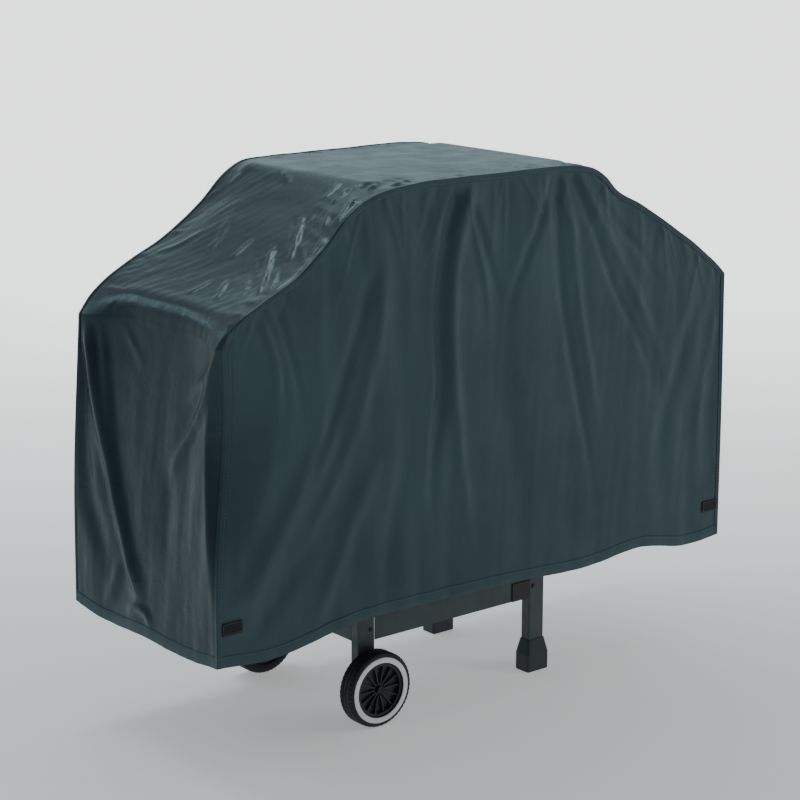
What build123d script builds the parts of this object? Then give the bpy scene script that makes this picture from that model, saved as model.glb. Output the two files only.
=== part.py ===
from build123d import *
import os
from math import atan, cos

# A fitted cover for a long gas grill, with the wheeled grill cart it is worn on.
# Millimetres, +Z up, X from end to end, -Y to the front.  The origin is on the floor, under the
# middle of the cover.
# The cover is a front and a back panel sewn to one long strip that runs up the left end, over the
# shelf, the hood and the other shelf, and down the right end.  It lifts straight off the cart.

# ---- driving dimensions -------------------------------------------------------------------------

cover_width = 1524.0        # outside the cloth, end to end along the hem
cover_depth = 572.0         # outside the cloth, front to back
cover_top = 1255.0          # crown of the cover above the floor
hem_height = 280.0          # hem above the floor
cloth = 2.0                 # face, backing and the air between folds

hood_width = 640.0          # lid of the grill, end to end
hood_x = -10.0              # middle of the hood, a little left of the cover's middle
wheel_radius = 88.9
wheel_width = 46.0
knob_radius = 20.0

# ---- the cover's shape --------------------------------------------------------------------------

crown_slack = 0.5           # between the hood and the cloth over it
shelf_drop = 252.0          # from the crown down to the tops of the side shelves
left_lean = 76.0            # the left end leans in this far, from the hem to the shoulder
right_lean = 5.0            # the right end hangs almost straight
shoulder_rise = 11.0        # the left shoulder above the shelf it lies on
left_sag = (131.0, 66.0)    # the slack corner between the shelf and the hood, from the shoulder
right_sag = (93.0, 87.0)    # the same on the right, out and down from the crown
crown_left = 35.0           # the crown reaches this far past the hood on the left
crown_right = 2.0           # and this far on the right
right_rise = 8.125          # the cloth passes this far above the end of the right shelf
outline_radii = [30.0, 200.0, 60.0, 60.0, 150.0, 60.0]

binding = 2.5               # folded tape over the panel seams, outside the cloth
binding_width = 10.0
hem_tape_width = 25.0
hem_tape_thickness = 1.5

tab_length = 52.0           # hook and loop tabs at the four lower corners
tab_height = 28.0
tab_thickness = 1.6
tab_above_hem = 63.0
tab_from_edge = 6.0
patch_length = 24.0
patch_thickness = 1.0
tab_gap = 0.3               # between a closed tab and its patch

# ---- the grill and its cart ---------------------------------------------------------------------

front_room = 4.0            # between the cloth and whatever stands furthest forward
hood_room = 70.0            # the cover is this much deeper than the hood
hood_y = 11.0               # middle of the hood, a little behind the cover's middle
hood_wall = 3.0
hood_height = 267.5
hood_edge = 45.0            # radius of the lid's rounded edges

firebox_depth = 170.0       # from the hood's rim down
firebox_band = 40.0         # straight part below the rim
firebox_inset = 1.0         # the firebox's rim inside the hood's outline
firebox_wall = 4.0
firebox_taper = 66.0        # each side of the floor of the box is this much further in
drain_radius = 20.0

knob_length = 23.5
knob_face_gap = 0.5         # between a knob and the panel behind it
knob_spacing = 170.0
grip_width = 9.0
grip_height = 12.0
grip_inset = 2.0            # the ends of the grip inside the knob's skirt
knob_taper = 4.0            # degrees
stem_radius = 4.0
stem_length = 14.0
running = 0.05              # radial clearance of a stem or an axle in its hole
panel_length = 600.0
panel_height = 115.0
panel_sheet = 2.0
panel_rise = 20.0           # the top of the panel below the firebox's rim
valve_size = (34.0, 13.0, 26.0)

handle_length = 420.0
handle_radius = 8.0
handle_rise = 65.0          # middle of the handle above the rim
post_spacing = 360.0
post_radius = 6.0
hinge_spacing = 400.0
hinge_size = (50.0, 12.0, 30.0)

shelf_thickness = 22.0
shelf_corner = 15.0
shelf_gap = 4.0             # between a shelf and the hood
left_end_room = 86.0        # from the hem's end in to the left shelf's end
right_end_room = 106.0
shelf_front_room = 20.0
shelf_back_room = 20.0
brace_plate = 4.0
brace_reach = 243.0         # how far a brace reaches out under its shelf
brace_drop = 221.0          # from the shelf's top down to the foot of a brace
brace_bar = 40.0

cart_x = hood_x
cart_y = 22.0
leg_room_x = 114.0          # the legs' middles are this much nearer together than the hood is long
leg_room_y = 214.0          # and this much nearer together than the cover is deep
leg_width = 48.0
leg_depth = 29.0
leg_wall = 1.5
leg_corner = 4.0
leg_below_axle = 28.9       # the wheeled legs end this far below the wheel bolts
rail_height = 40.0
rail_width = 20.0
rail_wall = 1.5

boot_length = 69.0
boot_width = 49.0
boot_height = 80.0
boot_shoulder = 44.0
boot_floor = 20.0
boot_neck = 1.8             # wall of the boot where it grips the leg
boot_corner = 8.0
boot_edge = 3.0
seat_gap = 0.1              # between a leg and the boot it stands in

tray_low = 191.0
tray_flange = 59.0
tray_sheet = 1.5
tray_inset = 1.0            # the tray's edges behind the legs' outer faces
notch_gap = 0.5             # between the tray and the legs that pass it
cap_length = 56.0
cap_height = 45.0
cap_thickness = 3.0
clip_sheet = 2.5
clip_height = 42.0
clip_length = 46.0
clip_shelf = 26.0

bolt_radius = 3.0
bolt_play = 0.2
bolt_head = 5.5
bolt_head_height = 3.0
bolt_head_taper = 20.0      # degrees
bolt_inboard = 12.0         # from the middle of the leg towards the cart's middle
bolt_height = 218.0

axle_radius = 6.0
axle_head = 9.0             # half the width of the head across its corners
axle_head_height = 4.0
wheel_play = 0.3            # endways, between a wheel and its spacer or cap
spacer_radius = 10.0
wheel_gap = 7.5             # from a leg to the wheel beside it
tyre_height = 24.9          # from the rim's seat to the tread
rim_barrel = 7.0
rim_half_width = 19.0
rim_seat = 0.05
web_low = 5.0
web_high = 9.0
rib_high = 16.0
rib_count = 14
rib_width = 3.2
hub_radius = 14.0
hub_recess = 10.0           # the hub's outer end behind the tyre's face
cap_radius = 9.5
axle_cap_length = 8.0
whitewall_width = 13.0
whitewall_inset = 10.9      # from the tread in to the white ring
whitewall_depth = 2.0
whitewall_proud = 0.5
whitewall_gap = 0.1
tyre_edge = 8.0

# ---- places worked out from the sizes -----------------------------------------------------------

half_width = cover_width / 2
half_depth = cover_depth / 2
inner_depth = half_depth - cloth

hood_top = cover_top - cloth - crown_slack
rim_height = hood_top - hood_height
hood_left = hood_x - hood_width / 2
hood_right = hood_x + hood_width / 2
hood_depth = cover_depth - hood_room
hood_front = hood_y - hood_depth / 2
hood_back = hood_y + hood_depth / 2
firebox_floor = rim_height - firebox_depth
firebox_front = hood_front + firebox_inset

front_limit = -inner_depth + front_room
panel_front = front_limit + knob_length + knob_face_gap
panel_top = rim_height - panel_rise
knob_height = panel_top - panel_height / 2
knobs = {"left_knob": -knob_spacing, "middle_knob": 0.0, "right_knob": knob_spacing}

shelf_top = cover_top - shelf_drop
shelf_front = -inner_depth + shelf_front_room
shelf_back = hood_back - shelf_back_room
shelves = {
    "left_shelf": (left_end_room - half_width, hood_left - shelf_gap),
    "right_shelf": (hood_right + shelf_gap, half_width - right_end_room),
}

leg_spacing_x = hood_width - leg_room_x
leg_left = cart_x - leg_spacing_x / 2
leg_right = cart_x + leg_spacing_x / 2
leg_spacing_y = cover_depth - leg_room_y
leg_front = cart_y - leg_spacing_y / 2
leg_rear = cart_y + leg_spacing_y / 2
leg_top = firebox_floor
ends = {"front": (leg_front, -1), "rear": (leg_rear, 1)}
sides = {"left": (leg_left, -1), "right": (leg_right, 1)}

axle_bore = axle_radius + running
rim_radius = wheel_radius - tyre_height
whitewall_outer = wheel_radius - whitewall_inset
whitewall_inner = whitewall_outer - whitewall_width
hub_face = wheel_width / 2 - hub_recess
wheel_offset = leg_depth / 2 + wheel_gap + wheel_width / 2
wheel_planes = {"front": leg_front - wheel_offset, "rear": leg_rear + wheel_offset}

shoulder = (left_lean - half_width, shelf_top + shoulder_rise)
crown_start = (hood_left - crown_left, cover_top)
crown_end = (hood_right + crown_right, cover_top)
right_slack = (crown_end[0] + right_sag[0], crown_end[1] - right_sag[1])
# The right slope runs straight from the slack corner, over the shelf's end, to the ear.
slope_right = (right_slack[1] - shelf_top - right_rise) / (half_width - right_end_room - right_slack[0])
ear_x = half_width - right_lean
ear = (ear_x, right_slack[1] - slope_right * (ear_x - right_slack[0]))
outline_corners = [
    (-half_width, hem_height),
    shoulder,
    (shoulder[0] + left_sag[0], shoulder[1] + left_sag[1]),
    crown_start,
    crown_end,
    right_slack,
    ear,
    (half_width, hem_height),
]
left_slope = left_lean / (shoulder[1] - hem_height)
right_slope = right_lean / (ear[1] - hem_height)


def cover_outline():
    """The outside of the strip, from the left hem over the top to the right hem."""
    return FilletPolyline(*outline_corners, radius=outline_radii)


def left_wall(height, inset=0.0):
    """Where the left end is at a height, or a surface set in from it."""
    return -half_width + left_slope * (height - hem_height) + inset / cos(atan(left_slope))


def right_wall(height, inset=0.0):
    """Where the right end is at a height, or a surface set in from it."""
    return half_width - right_slope * (height - hem_height) - inset / cos(atan(right_slope))


os.makedirs("parts", exist_ok=True)

# ---- the cover ----------------------------------------------------------------------------------

# One strip of cloth: left end, over the top, right end.
with BuildPart() as top_panel:
    with BuildSketch(Plane.XZ.offset(-inner_depth)):
        with BuildLine():
            cover_outline()
            offset(amount=cloth, side=Side.RIGHT)
        make_face()
    extrude(amount=2 * inner_depth)
    split(bisect_by=Plane.XY.offset(hem_height), keep=Keep.TOP)
top_panel.part.label = "top_panel"
export_step(top_panel.part, "parts/top_panel.step")

# The front and back panels close the strip, each with a bound seam round its edge.
for end, outer in (("front", half_depth), ("back", -inner_depth)):
    with BuildPart() as panel:
        with BuildSketch(Plane.XZ.offset(outer)):
            with BuildLine():
                edge = cover_outline()
                Line(edge @ 1, edge @ 0)
            make_face()
        extrude(amount=-cloth)
    panel.part.label = f"{end}_panel"
    export_step(panel.part, f"parts/{end}_panel.step")

for end, outer in (("front", half_depth), ("back", binding_width - half_depth)):
    with BuildPart() as seam:
        with BuildSketch(Plane.XZ.offset(outer)):
            with BuildLine():
                cover_outline()
                offset(amount=binding, side=Side.LEFT)
            make_face()
        extrude(amount=-binding_width)
    seam.part.label = f"{end}_seam_binding"
    export_step(seam.part, f"parts/{end}_seam_binding.step")

# A tape turned up inside the hem, all the way round.
with BuildPart() as hem_tape:
    for inset, spare, mode in (
        (0.0, 0.0, Mode.ADD),
        (hem_tape_thickness, hem_tape_thickness, Mode.SUBTRACT),
    ):
        low = hem_height - spare
        high = hem_height + hem_tape_width + spare
        with BuildSketch(Plane.XZ.offset(inset - inner_depth)):
            Polygon(
                (left_wall(low, cloth + inset), low),
                (right_wall(low, cloth + inset), low),
                (right_wall(high, cloth + inset), high),
                (left_wall(high, cloth + inset), high),
                align=None,
            )
        extrude(amount=2 * (inner_depth - inset), mode=mode)
hem_tape.part.label = "hem_tape"
export_step(hem_tape.part, "parts/hem_tape.step")

# Each tab is sewn on at the corner and closes inwards onto a patch.
tab_low = hem_height + tab_above_hem
tab_back = half_depth + patch_thickness + tab_gap
tab_fold = tab_back + tab_thickness / 2
tab_edges = {
    "left": (left_wall(tab_low) + tab_from_edge, -1),
    "right": (right_wall(tab_low + tab_height) - tab_from_edge, 1),
}
for end, facing in (("front", -1), ("rear", 1)):
    for side, (edge_x, outward) in tab_edges.items():
        with BuildPart() as tab:
            with BuildSketch(Plane.XY.offset(tab_low)):
                with Locations((edge_x - outward * tab_length / 2, facing * tab_fold)):
                    SlotOverall(tab_length, tab_thickness)
            extrude(amount=tab_height)
        tab.part.label = f"{end}_{side}_tab"
        export_step(tab.part, f"parts/{end}_{side}_tab.step")

        patch_x = edge_x - outward * (tab_length - patch_length / 2)
        with BuildPart() as patch:
            with BuildSketch(Plane.XY.offset(tab_low)):
                with Locations((patch_x, facing * (half_depth + patch_thickness / 2))):
                    Rectangle(patch_length, patch_thickness)
            extrude(amount=tab_height)
        patch.part.label = f"{end}_{side}_patch"
        export_step(patch.part, f"parts/{end}_{side}_patch.step")

# ---- the cart -----------------------------------------------------------------------------------

# Tube legs.  The left pair carries the wheels, the right pair stands in boots.
for end, (y, facing) in ends.items():
    for side, (x, outward) in sides.items():
        foot = wheel_radius - leg_below_axle if side == "left" else boot_floor
        with BuildPart() as leg:
            with BuildSketch(Plane.XY.offset(foot)):
                with Locations((x, y)):
                    RectangleRounded(leg_width, leg_depth, leg_corner)
                    RectangleRounded(
                        leg_width - 2 * leg_wall,
                        leg_depth - 2 * leg_wall,
                        leg_corner - leg_wall,
                        mode=Mode.SUBTRACT,
                    )
            extrude(amount=leg_top - foot)
            with BuildSketch(Plane.XZ.offset(-y)):
                with Locations((x - outward * bolt_inboard, bolt_height)):
                    Circle(bolt_radius + bolt_play)
                if side == "left":
                    with Locations((leg_left, wheel_radius)):
                        Circle(axle_bore)
            extrude(amount=leg_depth, both=True, mode=Mode.SUBTRACT)
        leg.part.label = f"{end}_{side}_leg"
        export_step(leg.part, f"parts/{end}_{side}_leg.step")

for end, (y, facing) in ends.items():
    with BuildPart() as boot:
        with BuildSketch(Plane.XY):
            with Locations((leg_right, y)):
                RectangleRounded(boot_length, boot_width, boot_corner)
        extrude(amount=boot_shoulder)
        fillet(boot.faces().sort_by(Axis.Z)[0].edges(), radius=boot_edge)
        with BuildSketch(Plane.XY.offset(boot_shoulder)):
            with Locations((leg_right, y)):
                RectangleRounded(boot_length, boot_width, boot_corner)
        with BuildSketch(Plane.XY.offset(boot_height)):
            with Locations((leg_right, y)):
                RectangleRounded(leg_width + 2 * boot_neck, leg_depth + 2 * boot_neck, leg_corner)
        loft()
        with BuildSketch(Plane.XY.offset(boot_floor)):
            with Locations((leg_right, y)):
                RectangleRounded(leg_width + 2 * seat_gap, leg_depth + 2 * seat_gap, leg_corner)
        extrude(amount=boot_height, mode=Mode.SUBTRACT)
    boot.part.label = f"{end}_boot"
    export_step(boot.part, f"parts/{end}_boot.step")

# Tube rails tie the tops of the legs together and carry the firebox.
rail_middle = leg_top - rail_height / 2
for side, (x, outward) in sides.items():
    with BuildPart() as rail:
        with BuildSketch(Plane.XZ.offset(-leg_rear + leg_depth / 2)):
            with Locations((x, rail_middle)):
                Rectangle(rail_width, rail_height)
                Rectangle(
                    rail_width - 2 * rail_wall, rail_height - 2 * rail_wall, mode=Mode.SUBTRACT
                )
        extrude(amount=leg_spacing_y - leg_depth)
    rail.part.label = f"{side}_rail"
    export_step(rail.part, f"parts/{side}_rail.step")

for end, (y, facing) in ends.items():
    with BuildPart() as rail:
        with BuildSketch(Plane.YZ.offset(leg_left + leg_width / 2)):
            with Locations((y, rail_middle)):
                Rectangle(rail_width, rail_height)
                Rectangle(
                    rail_width - 2 * rail_wall, rail_height - 2 * rail_wall, mode=Mode.SUBTRACT
                )
        extrude(amount=leg_spacing_x - leg_width)
    rail.part.label = f"{end}_rail"
    export_step(rail.part, f"parts/{end}_rail.step")

# A folded sheet tray between the legs, with its corners cut away to let them by.
tray_length = leg_spacing_x + leg_width - 2 * tray_inset
tray_width = leg_spacing_y + leg_depth - 2 * tray_inset
leg_places = [(x, y) for x, outward in sides.values() for y, facing in ends.values()]
with BuildPart() as bottom_shelf:
    with BuildSketch(Plane.XY.offset(tray_low)):
        with Locations((cart_x, cart_y)):
            Rectangle(tray_length, tray_width)
    extrude(amount=tray_flange)
    with BuildSketch(Plane.XY.offset(tray_low)):
        with Locations((cart_x, cart_y)):
            Rectangle(tray_length - 2 * tray_sheet, tray_width - 2 * tray_sheet)
    extrude(amount=tray_flange - tray_sheet, mode=Mode.SUBTRACT)
    with BuildSketch(Plane.XY.offset(tray_low)):
        with Locations(*leg_places):
            Rectangle(leg_width + 2 * notch_gap, leg_depth + 2 * notch_gap)
    extrude(amount=tray_flange, mode=Mode.SUBTRACT)
bottom_shelf.part.label = "bottom_shelf"
export_step(bottom_shelf.part, "parts/bottom_shelf.step")

# Plastic caps over the ends of the tray's flanges, beside the right legs.
tray_face = tray_width / 2
for end, (y, facing) in ends.items():
    with BuildPart() as corner_cap:
        with BuildSketch(Plane.XY.offset(tray_low)):
            with Locations((
                leg_right - leg_width / 2 - notch_gap - cap_length / 2,
                cart_y + facing * (tray_face + cap_thickness / 2),
            )):
                Rectangle(cap_length, cap_thickness)
        extrude(amount=cap_height)
    corner_cap.part.label = f"{end}_corner_cap"
    export_step(corner_cap.part, f"parts/{end}_corner_cap.step")

# Angle clips behind the legs hold the tray's deck up, one bolt through each leg into its clip.
deck_under = tray_low + tray_flange - tray_sheet
with BuildPart() as shelf_clips:
    for x, outward in sides.values():
        for y, facing in ends.values():
            clip_x = x - outward * bolt_inboard
            clip_y = y - facing * leg_depth / 2
            with BuildSketch(Plane.XY.offset(deck_under - clip_height)):
                with Locations((clip_x, clip_y - facing * (clip_sheet / 2))):
                    Rectangle(clip_length, clip_sheet)
            extrude(amount=clip_height)
            with BuildSketch(Plane.XY.offset(deck_under - clip_sheet)):
                with Locations((clip_x, clip_y - facing * (clip_shelf / 2))):
                    Rectangle(clip_length, clip_shelf)
            extrude(amount=clip_sheet)
            with BuildSketch(Plane.XZ.offset(-clip_y)):
                with Locations((clip_x, bolt_height)):
                    Circle(bolt_radius + bolt_play)
            extrude(amount=2 * clip_sheet, both=True, mode=Mode.SUBTRACT)
shelf_clips.part.label = "shelf_clips"
export_step(shelf_clips.part, "parts/shelf_clips.step")

with BuildPart() as leg_bolts:
    for x, outward in sides.values():
        for y, facing in ends.values():
            head_plane = Plane(
                origin=(x - outward * bolt_inboard, y + facing * leg_depth / 2, bolt_height),
                x_dir=(1, 0, 0),
                z_dir=(0, facing, 0),
            )
            with BuildSketch(head_plane):
                Circle(bolt_head)
            extrude(amount=bolt_head_height, taper=bolt_head_taper)
            with BuildSketch(head_plane):
                Circle(bolt_radius)
            extrude(amount=-(leg_depth + 2 * clip_sheet))
leg_bolts.part.label = "leg_bolts"
export_step(leg_bolts.part, "parts/leg_bolts.step")

# ---- wheels and their bolts ---------------------------------------------------------------------

# Each wheel turns on a bolt through its own leg, with the bolt's head inside.
bolt_reach = leg_depth / 2 + wheel_offset + hub_face + wheel_play + axle_cap_length / 2
with BuildPart() as wheel_bolts:
    for y, facing in ends.values():
        head_plane = Plane(
            origin=(leg_left, y - facing * leg_depth / 2, wheel_radius),
            x_dir=(1, 0, 0),
            z_dir=(0, -facing, 0),
        )
        with BuildSketch(head_plane):
            RegularPolygon(axle_head, 6)
        extrude(amount=axle_head_height)
        with BuildSketch(head_plane):
            Circle(axle_radius)
        extrude(amount=-bolt_reach)
wheel_bolts.part.label = "wheel_bolts"
export_step(wheel_bolts.part, "parts/wheel_bolts.step")

for end, (leg_y, facing) in ends.items():
    centre = (leg_left, wheel_planes[end], wheel_radius)
    spin = Axis(centre, (0, facing, 0))
    # Across the wheel: local X runs outwards along the bolt, local Y is the radius.
    section = Plane(origin=centre, x_dir=(0, facing, 0), z_dir=(facing, 0, 0))

    with BuildPart() as spacer:
        with BuildSketch(section):
            with Locations((
                -(wheel_width + wheel_gap + wheel_play) / 2,
                (spacer_radius + axle_bore) / 2,
            )):
                Rectangle(wheel_gap - wheel_play, spacer_radius - axle_bore)
        revolve(axis=spin)
    spacer.part.label = f"{end}_axle_spacer"
    export_step(spacer.part, f"parts/{end}_axle_spacer.step")

    cap_start = hub_face + wheel_play
    with BuildPart() as axle_cap:
        with BuildSketch(section):
            with Locations((cap_start + axle_cap_length / 2, cap_radius / 2)):
                Rectangle(axle_cap_length, cap_radius)
            with Locations((cap_start + axle_cap_length / 4, axle_radius / 2)):
                Rectangle(axle_cap_length / 2, axle_radius, mode=Mode.SUBTRACT)
        revolve(axis=spin)
        rims = axle_cap.edges().filter_by(GeomType.CIRCLE).sort_by(Axis(centre, (0, facing, 0)))
        fillet(rims[-1], radius=axle_cap_length / 4)
    axle_cap.part.label = f"{end}_axle_cap"
    export_step(axle_cap.part, f"parts/{end}_axle_cap.step")

    with BuildPart() as tyre:
        with BuildSketch(section) as tyre_section:
            with Locations((0, (rim_radius + wheel_radius) / 2)):
                Rectangle(wheel_width, wheel_radius - rim_radius)
            fillet(tyre_section.vertices().group_by(Axis.Z)[-1], radius=tyre_edge)
            with Locations((
                wheel_width / 2 - whitewall_depth / 2,
                (whitewall_inner + whitewall_outer) / 2,
            )):
                Rectangle(whitewall_depth, whitewall_outer - whitewall_inner, mode=Mode.SUBTRACT)
        revolve(axis=spin)
    tyre.part.label = f"{end}_tyre"
    export_step(tyre.part, f"parts/{end}_tyre.step")

    with BuildPart() as whitewall:
        with BuildSketch(section):
            with Locations((
                wheel_width / 2 - whitewall_depth / 2 + whitewall_proud / 2,
                (whitewall_inner + whitewall_outer) / 2,
            )):
                Rectangle(
                    whitewall_depth + whitewall_proud,
                    whitewall_outer - whitewall_inner - 2 * whitewall_gap,
                )
        revolve(axis=spin)
    whitewall.part.label = f"{end}_whitewall"
    export_step(whitewall.part, f"parts/{end}_whitewall.step")

    with BuildPart() as rim:
        with BuildSketch(section):
            with Locations((0, rim_radius - rim_seat - rim_barrel / 2)):
                Rectangle(2 * rim_half_width, rim_barrel)
            with Locations(((web_low + web_high) / 2, (axle_bore + rim_radius - rim_barrel) / 2)):
                Rectangle(web_high - web_low, rim_radius - rim_barrel - axle_bore)
            with Locations(((hub_face - wheel_width / 2) / 2, (axle_bore + hub_radius) / 2)):
                Rectangle(hub_face + wheel_width / 2, hub_radius - axle_bore)
        revolve(axis=spin)
        rib_length = rim_radius - rim_barrel - hub_radius + 2 * rim_seat
        with BuildSketch(Plane(
            origin=(centre[0], centre[1] + facing * web_high, centre[2]),
            x_dir=(1, 0, 0),
            z_dir=(0, facing, 0),
        )):
            with PolarLocations(hub_radius + rib_length / 2 - rim_seat, rib_count):
                Rectangle(rib_length, rib_width)
        extrude(amount=rib_high - web_high)
    rim.part.label = f"{end}_rim"
    export_step(rim.part, f"parts/{end}_rim.step")

# ---- the grill ----------------------------------------------------------------------------------

with BuildPart() as hood:
    with BuildSketch(Plane.XY.offset(rim_height)):
        with Locations((hood_x, hood_y)):
            RectangleRounded(hood_width, hood_depth, hood_edge)
    extrude(amount=hood_height)
    fillet(hood.faces().sort_by(Axis.Z)[-1].edges(), radius=hood_edge - hood_wall)
    offset(amount=-hood_wall, openings=hood.faces().sort_by(Axis.Z)[0])
hood.part.label = "hood"
export_step(hood.part, "parts/hood.step")

# A cast box that tapers to its floor, open at the rim, with a hole to drain the fat.
with BuildPart() as firebox:
    for wall, mode in ((0.0, Mode.ADD), (firebox_wall, Mode.SUBTRACT)):
        top_size = (
            hood_width - 2 * (firebox_inset + wall),
            hood_depth - 2 * (firebox_inset + wall),
        )
        corner = hood_edge - firebox_inset - wall
        with BuildSketch(Plane.XY.offset(rim_height - firebox_band)):
            with Locations((hood_x, hood_y)):
                RectangleRounded(*top_size, corner)
        extrude(amount=firebox_band, mode=mode)
        with BuildSketch(Plane.XY.offset(rim_height - firebox_band)):
            with Locations((hood_x, hood_y)):
                RectangleRounded(*top_size, corner)
        with BuildSketch(Plane.XY.offset(firebox_floor + wall)):
            with Locations((hood_x, hood_y)):
                RectangleRounded(
                    top_size[0] - 2 * firebox_taper,
                    top_size[1] - 2 * firebox_taper,
                    corner,
                )
        loft(mode=mode)
    with BuildSketch(Plane.XY.offset(firebox_floor)):
        with Locations((hood_x, hood_y)):
            Circle(drain_radius)
    extrude(amount=firebox_wall, mode=Mode.SUBTRACT)
firebox.part.label = "firebox"
export_step(firebox.part, "parts/firebox.step")

handle_y = front_limit + handle_radius
handle_z = rim_height + handle_rise
with BuildPart() as hood_handle:
    with BuildSketch(Plane.YZ.offset(hood_x)):
        with Locations((handle_y, handle_z)):
            Circle(handle_radius)
    extrude(amount=handle_length / 2, both=True)
    with BuildSketch(Plane.XZ.offset(-hood_front)):
        with Locations((hood_x - post_spacing / 2, handle_z), (hood_x + post_spacing / 2, handle_z)):
            Circle(post_radius)
    extrude(amount=hood_front - handle_y)
hood_handle.part.label = "hood_handle"
export_step(hood_handle.part, "parts/hood_handle.step")

with BuildPart() as hood_hinges:
    with BuildSketch(Plane.XY.offset(rim_height - hinge_size[2] / 2)):
        with Locations(
            (hood_x - hinge_spacing / 2, hood_back + hinge_size[1] / 2),
            (hood_x + hinge_spacing / 2, hood_back + hinge_size[1] / 2),
        ):
            Rectangle(hinge_size[0], hinge_size[1])
    extrude(amount=hinge_size[2])
hood_hinges.part.label = "hood_hinges"
export_step(hood_hinges.part, "parts/hood_hinges.step")

# The control panel is a shallow tray on its side, with a hole for each knob's stem.
panel_deep = firebox_front - panel_front
with BuildPart() as control_panel:
    with BuildSketch(Plane.XZ.offset(-panel_front)):
        with Locations((hood_x, knob_height)):
            Rectangle(panel_length, panel_height)
    extrude(amount=-panel_deep)
    with BuildSketch(Plane.XZ.offset(-panel_front - panel_sheet)):
        with Locations((hood_x, knob_height)):
            Rectangle(panel_length - 2 * panel_sheet, panel_height - 2 * panel_sheet)
    extrude(amount=-panel_deep, mode=Mode.SUBTRACT)
    with BuildSketch(Plane.XZ.offset(-panel_front)):
        with Locations(*[(hood_x + along, knob_height) for along in knobs.values()]):
            Circle(stem_radius + running)
    extrude(amount=-panel_sheet, mode=Mode.SUBTRACT)
control_panel.part.label = "control_panel"
export_step(control_panel.part, "parts/control_panel.step")

with BuildPart() as valves:
    with BuildSketch(Plane.XZ.offset(-panel_front - panel_sheet)):
        with Locations(*[(hood_x + along, knob_height) for along in knobs.values()]):
            Rectangle(valve_size[0], valve_size[2])
            Circle(stem_radius + running, mode=Mode.SUBTRACT)
    extrude(amount=-valve_size[1])
valves.part.label = "valves"
export_step(valves.part, "parts/valves.step")

for name, along in knobs.items():
    knob_back = Plane(
        origin=(hood_x + along, panel_front - knob_face_gap, knob_height),
        x_dir=(1, 0, 0),
        z_dir=(0, -1, 0),
    )
    with BuildPart() as knob:
        with BuildSketch(knob_back):
            Circle(knob_radius)
        extrude(amount=knob_length - grip_height, taper=knob_taper)
        with BuildSketch(knob_back.offset(knob_length - grip_height)):
            SlotOverall(2 * (knob_radius - grip_inset), grip_width, rotation=90)
        extrude(amount=grip_height)
        with BuildSketch(knob_back):
            Circle(stem_radius)
        extrude(amount=-stem_length)
    knob.part.label = name
    export_step(knob.part, f"parts/{name}.step")

# ---- side shelves and their braces --------------------------------------------------------------

for name, (start, stop) in shelves.items():
    with BuildPart() as shelf:
        with BuildSketch(Plane.XY.offset(shelf_top - shelf_thickness)):
            with Locations(((start + stop) / 2, (shelf_front + shelf_back) / 2)):
                RectangleRounded(stop - start, shelf_back - shelf_front, shelf_corner)
        extrude(amount=shelf_thickness)
    shelf.part.label = name
    export_step(shelf.part, f"parts/{name}.step")

shelf_under = shelf_top - shelf_thickness
for end, (y, facing) in ends.items():
    for side, (x, outward) in sides.items():
        root = x + outward * leg_width / 2
        with BuildPart() as brace:
            with BuildSketch(Plane.XZ.offset(-y - brace_plate / 2)):
                Polygon(
                    (root, shelf_top - brace_drop),
                    (root, shelf_top - brace_drop + brace_bar),
                    (root + outward * (brace_reach - brace_bar), shelf_under),
                    (root + outward * brace_reach, shelf_under),
                    align=None,
                )
            extrude(amount=brace_plate)
        brace.part.label = f"{end}_{side}_brace"
        export_step(brace.part, f"parts/{end}_{side}_brace.step")
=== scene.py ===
import math

import bpy
import numpy as np
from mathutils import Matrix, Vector


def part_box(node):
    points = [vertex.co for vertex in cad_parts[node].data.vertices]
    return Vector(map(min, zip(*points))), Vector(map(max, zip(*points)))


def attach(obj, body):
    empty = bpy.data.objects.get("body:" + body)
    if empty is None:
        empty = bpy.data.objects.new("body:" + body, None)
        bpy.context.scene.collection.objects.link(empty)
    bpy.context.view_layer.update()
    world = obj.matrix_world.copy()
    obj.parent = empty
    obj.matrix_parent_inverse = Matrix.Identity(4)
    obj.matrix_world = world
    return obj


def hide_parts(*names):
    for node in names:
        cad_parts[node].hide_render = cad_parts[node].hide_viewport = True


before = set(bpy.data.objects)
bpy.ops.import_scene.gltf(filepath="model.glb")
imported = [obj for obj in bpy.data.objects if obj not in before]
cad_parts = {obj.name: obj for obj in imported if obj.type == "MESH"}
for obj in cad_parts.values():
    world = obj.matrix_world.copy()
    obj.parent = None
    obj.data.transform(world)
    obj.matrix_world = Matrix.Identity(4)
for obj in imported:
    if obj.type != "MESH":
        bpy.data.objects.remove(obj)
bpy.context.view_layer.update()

bl_info = {
    "name": "Grill cover on its cart",
    "version": (1, 0, 0),
    "blender": (4, 5, 0),
    "location": "3D View > Sidebar > Grill Cover",
    "description": "Drapes a vinyl cover over a wheeled gas grill and finishes the cart under it",
    "category": "Object",
}

# Metres.  X runs from end to end, -Y is the front, Z is up, as in the frame.


# ---- places read from the frame -----------------------------------------------------------------

def low(node):
    """The lowest corner of a node's box."""
    return np.array(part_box(node)[0])


def high(node):
    """The highest corner of a node's box."""
    return np.array(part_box(node)[1])


LEFT, FRONT, HEM = low("top_panel")[0], low("front_panel")[1], low("top_panel")[2]
RIGHT, BACK, CROWN = high("top_panel")[0], high("back_panel")[1], high("top_panel")[2]
DEPTH = BACK - FRONT
EAR_DROP = 0.3     # from the crown down to the ears, where the ends begin
OVER_TOP = 1.86    # along the cloth from ear to ear


# ---- settings -----------------------------------------------------------------------------------

def length(name, description, default, least, most):
    return bpy.props.FloatProperty(
        name=name, description=description, default=default, min=least, max=most, unit="LENGTH",
    )


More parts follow.
